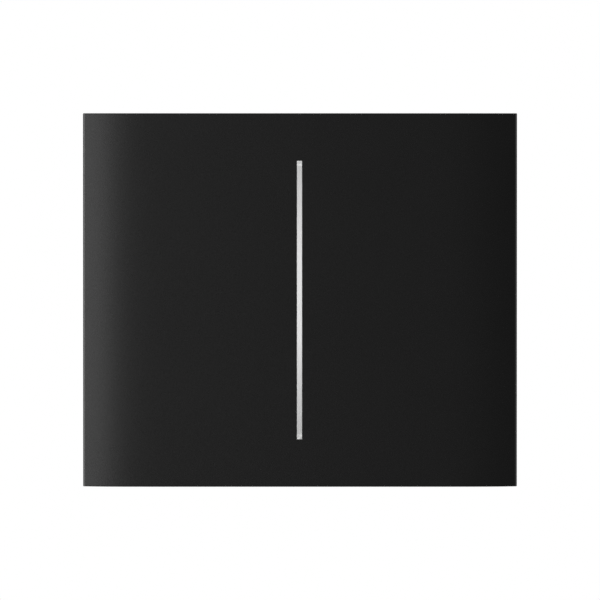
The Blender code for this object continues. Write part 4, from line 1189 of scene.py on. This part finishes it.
def makeSolder(name, centre):
    profile = profileFrom(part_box("lamp_board")[1].y, 1, solder["foot"] + solder["cone"])
    makePiece(name, turned(profile, centre, steps=24), "base", "silver", sharpest=50)


makeBoard()
for name in ("lamp_lead", "contact_lever"):
    for side in sides:
        softenNode(f"{name}_{side}")
for side, way in sides.items():
    makeSolder(f"leadSolder{side.capitalize()}", (way * solder["leadAcross"], solder["leadUp"]))
    makeSolder(f"lampSolder{side.capitalize()}", (way * solder["lampAcross"], solder["lampUp"]))
print("board made")


# Studio

studio = {
    "distance": 3.0, "keyShare": 0.7235, "sensor": 36, "near": 0.1, "far": 20, "ambient": 0.35,
}  # keyShare is how much of the view's width the key takes up

lamps = {
    "key light": ((-0.232, -0.566, -0.058), (0.296, 0.24), 2.91),
    "right fill": ((0.9, 0.35, 0.25), (0.5, 0.5), 5.5),
    "left fill": ((-0.9, 0.4, 0.2), (0.5, 0.5), 4.0),
    "overhead": ((0.05, 0.12, 1.0), (0.6, 0.6), 6.0),
    "back light": ((-0.35, 1.0, 0.3), (0.5, 0.5), 6.0),
}  # place, size in metres, and watts

floor = {
    "radius": 0.8, "drop": 0.12, "sides": 96, "fadeFrom": 0.32,
    "tone": 0.93, "roughness": 0.9, "specular": 0.1,
}


def makeCamera():
    low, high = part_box("key_cover")
    x, z = centreOf("key_cover")
    framed = (high.x - low.x) / studio["keyShare"]
    data = bpy.data.cameras.new("camera")
    data.sensor_width = studio["sensor"]
    data.lens = studio["sensor"] * studio["distance"] / framed
    data.clip_start, data.clip_end = studio["near"], studio["far"]
    camera = newObject("camera", data)
    camera.location = (x, key["face"] - studio["distance"], z)
    camera.rotation_euler = (pi / 2, 0, 0)
    bpy.context.scene.camera = camera


def makeLamps():
    for name, (place, size, watts) in lamps.items():
        data = bpy.data.lights.new(name, "AREA")
        data.shape = "RECTANGLE"
        data.size, data.size_y = size
        data.energy = watts
        light = newObject(name, data)
        light.location = place
        light.rotation_euler = (-Vector(place)).to_track_quat("-Z", "Y").to_euler()
        light.visible_camera = False


def makeWorld():
    # white wherever it is seen, directly or in gloss or glass, and a soft light otherwise
    world = bpy.data.worlds.new("studio")
    bpy.context.scene.world = world
    world.use_nodes = True
    tree = world.node_tree
    rays = tree.nodes.new("ShaderNodeLightPath").outputs
    seen = maths(tree, "MAXIMUM", rays["Is Camera Ray"], rays["Is Glossy Ray"])
    seen = maths(tree, "MAXIMUM", seen, rays["Is Transmission Ray"])
    background = tree.nodes["Background"]
    background.inputs["Color"].default_value = (1, 1, 1, 1)
    tree.links.new(spread(tree, seen, studio["ambient"], 1, 0, 1), background.inputs["Strength"])


def floorMaterial():
    # faded out towards its edge, and clear from below
    material, tree, shader, place = newMaterial("pale floor", floor)
    shader.inputs["Base Color"].default_value = (*grey(floor["tone"]), 1)
    flat = tree.nodes.new("ShaderNodeMapping")
    flat.inputs["Scale"].default_value = (1, 1, 0)
    distance = tree.nodes.new("ShaderNodeVectorMath")
    distance.operation = "LENGTH"
    tree.links.new(place, flat.inputs["Vector"])
    tree.links.new(flat.outputs["Vector"], distance.inputs[0])
    fade = spread(tree, distance.outputs["Value"], 0, 1, floor["fadeFrom"], floor["radius"])
    below = tree.nodes.new("ShaderNodeNewGeometry").outputs["Backfacing"]
    blend = tree.nodes.new("ShaderNodeMixShader")
    tree.links.new(maths(tree, "MAXIMUM", fade, below), blend.inputs["Fac"])
    tree.links.new(shader.outputs["BSDF"], blend.inputs[1])
    tree.links.new(tree.nodes.new("ShaderNodeBsdfTransparent").outputs["BSDF"], blend.inputs[2])
    tree.links.new(blend.outputs["Shader"], tree.nodes["Material Output"].inputs["Surface"])
    return material


def makeFloor():
    bm = bmesh.new()
    bmesh.ops.create_circle(bm, cap_ends=True, segments=floor["sides"], radius=floor["radius"])
    bmesh.ops.translate(bm, vec=(0, 0, -floor["drop"]), verts=bm.verts)
    mesh = newMesh("floor", bm)
    mesh.materials.append(floorMaterial())
    newObject("floor", mesh)


makeCamera()
makeLamps()
makeWorld()
makeFloor()
bpy.context.scene.view_settings.view_transform = "Standard"
print("studio made")
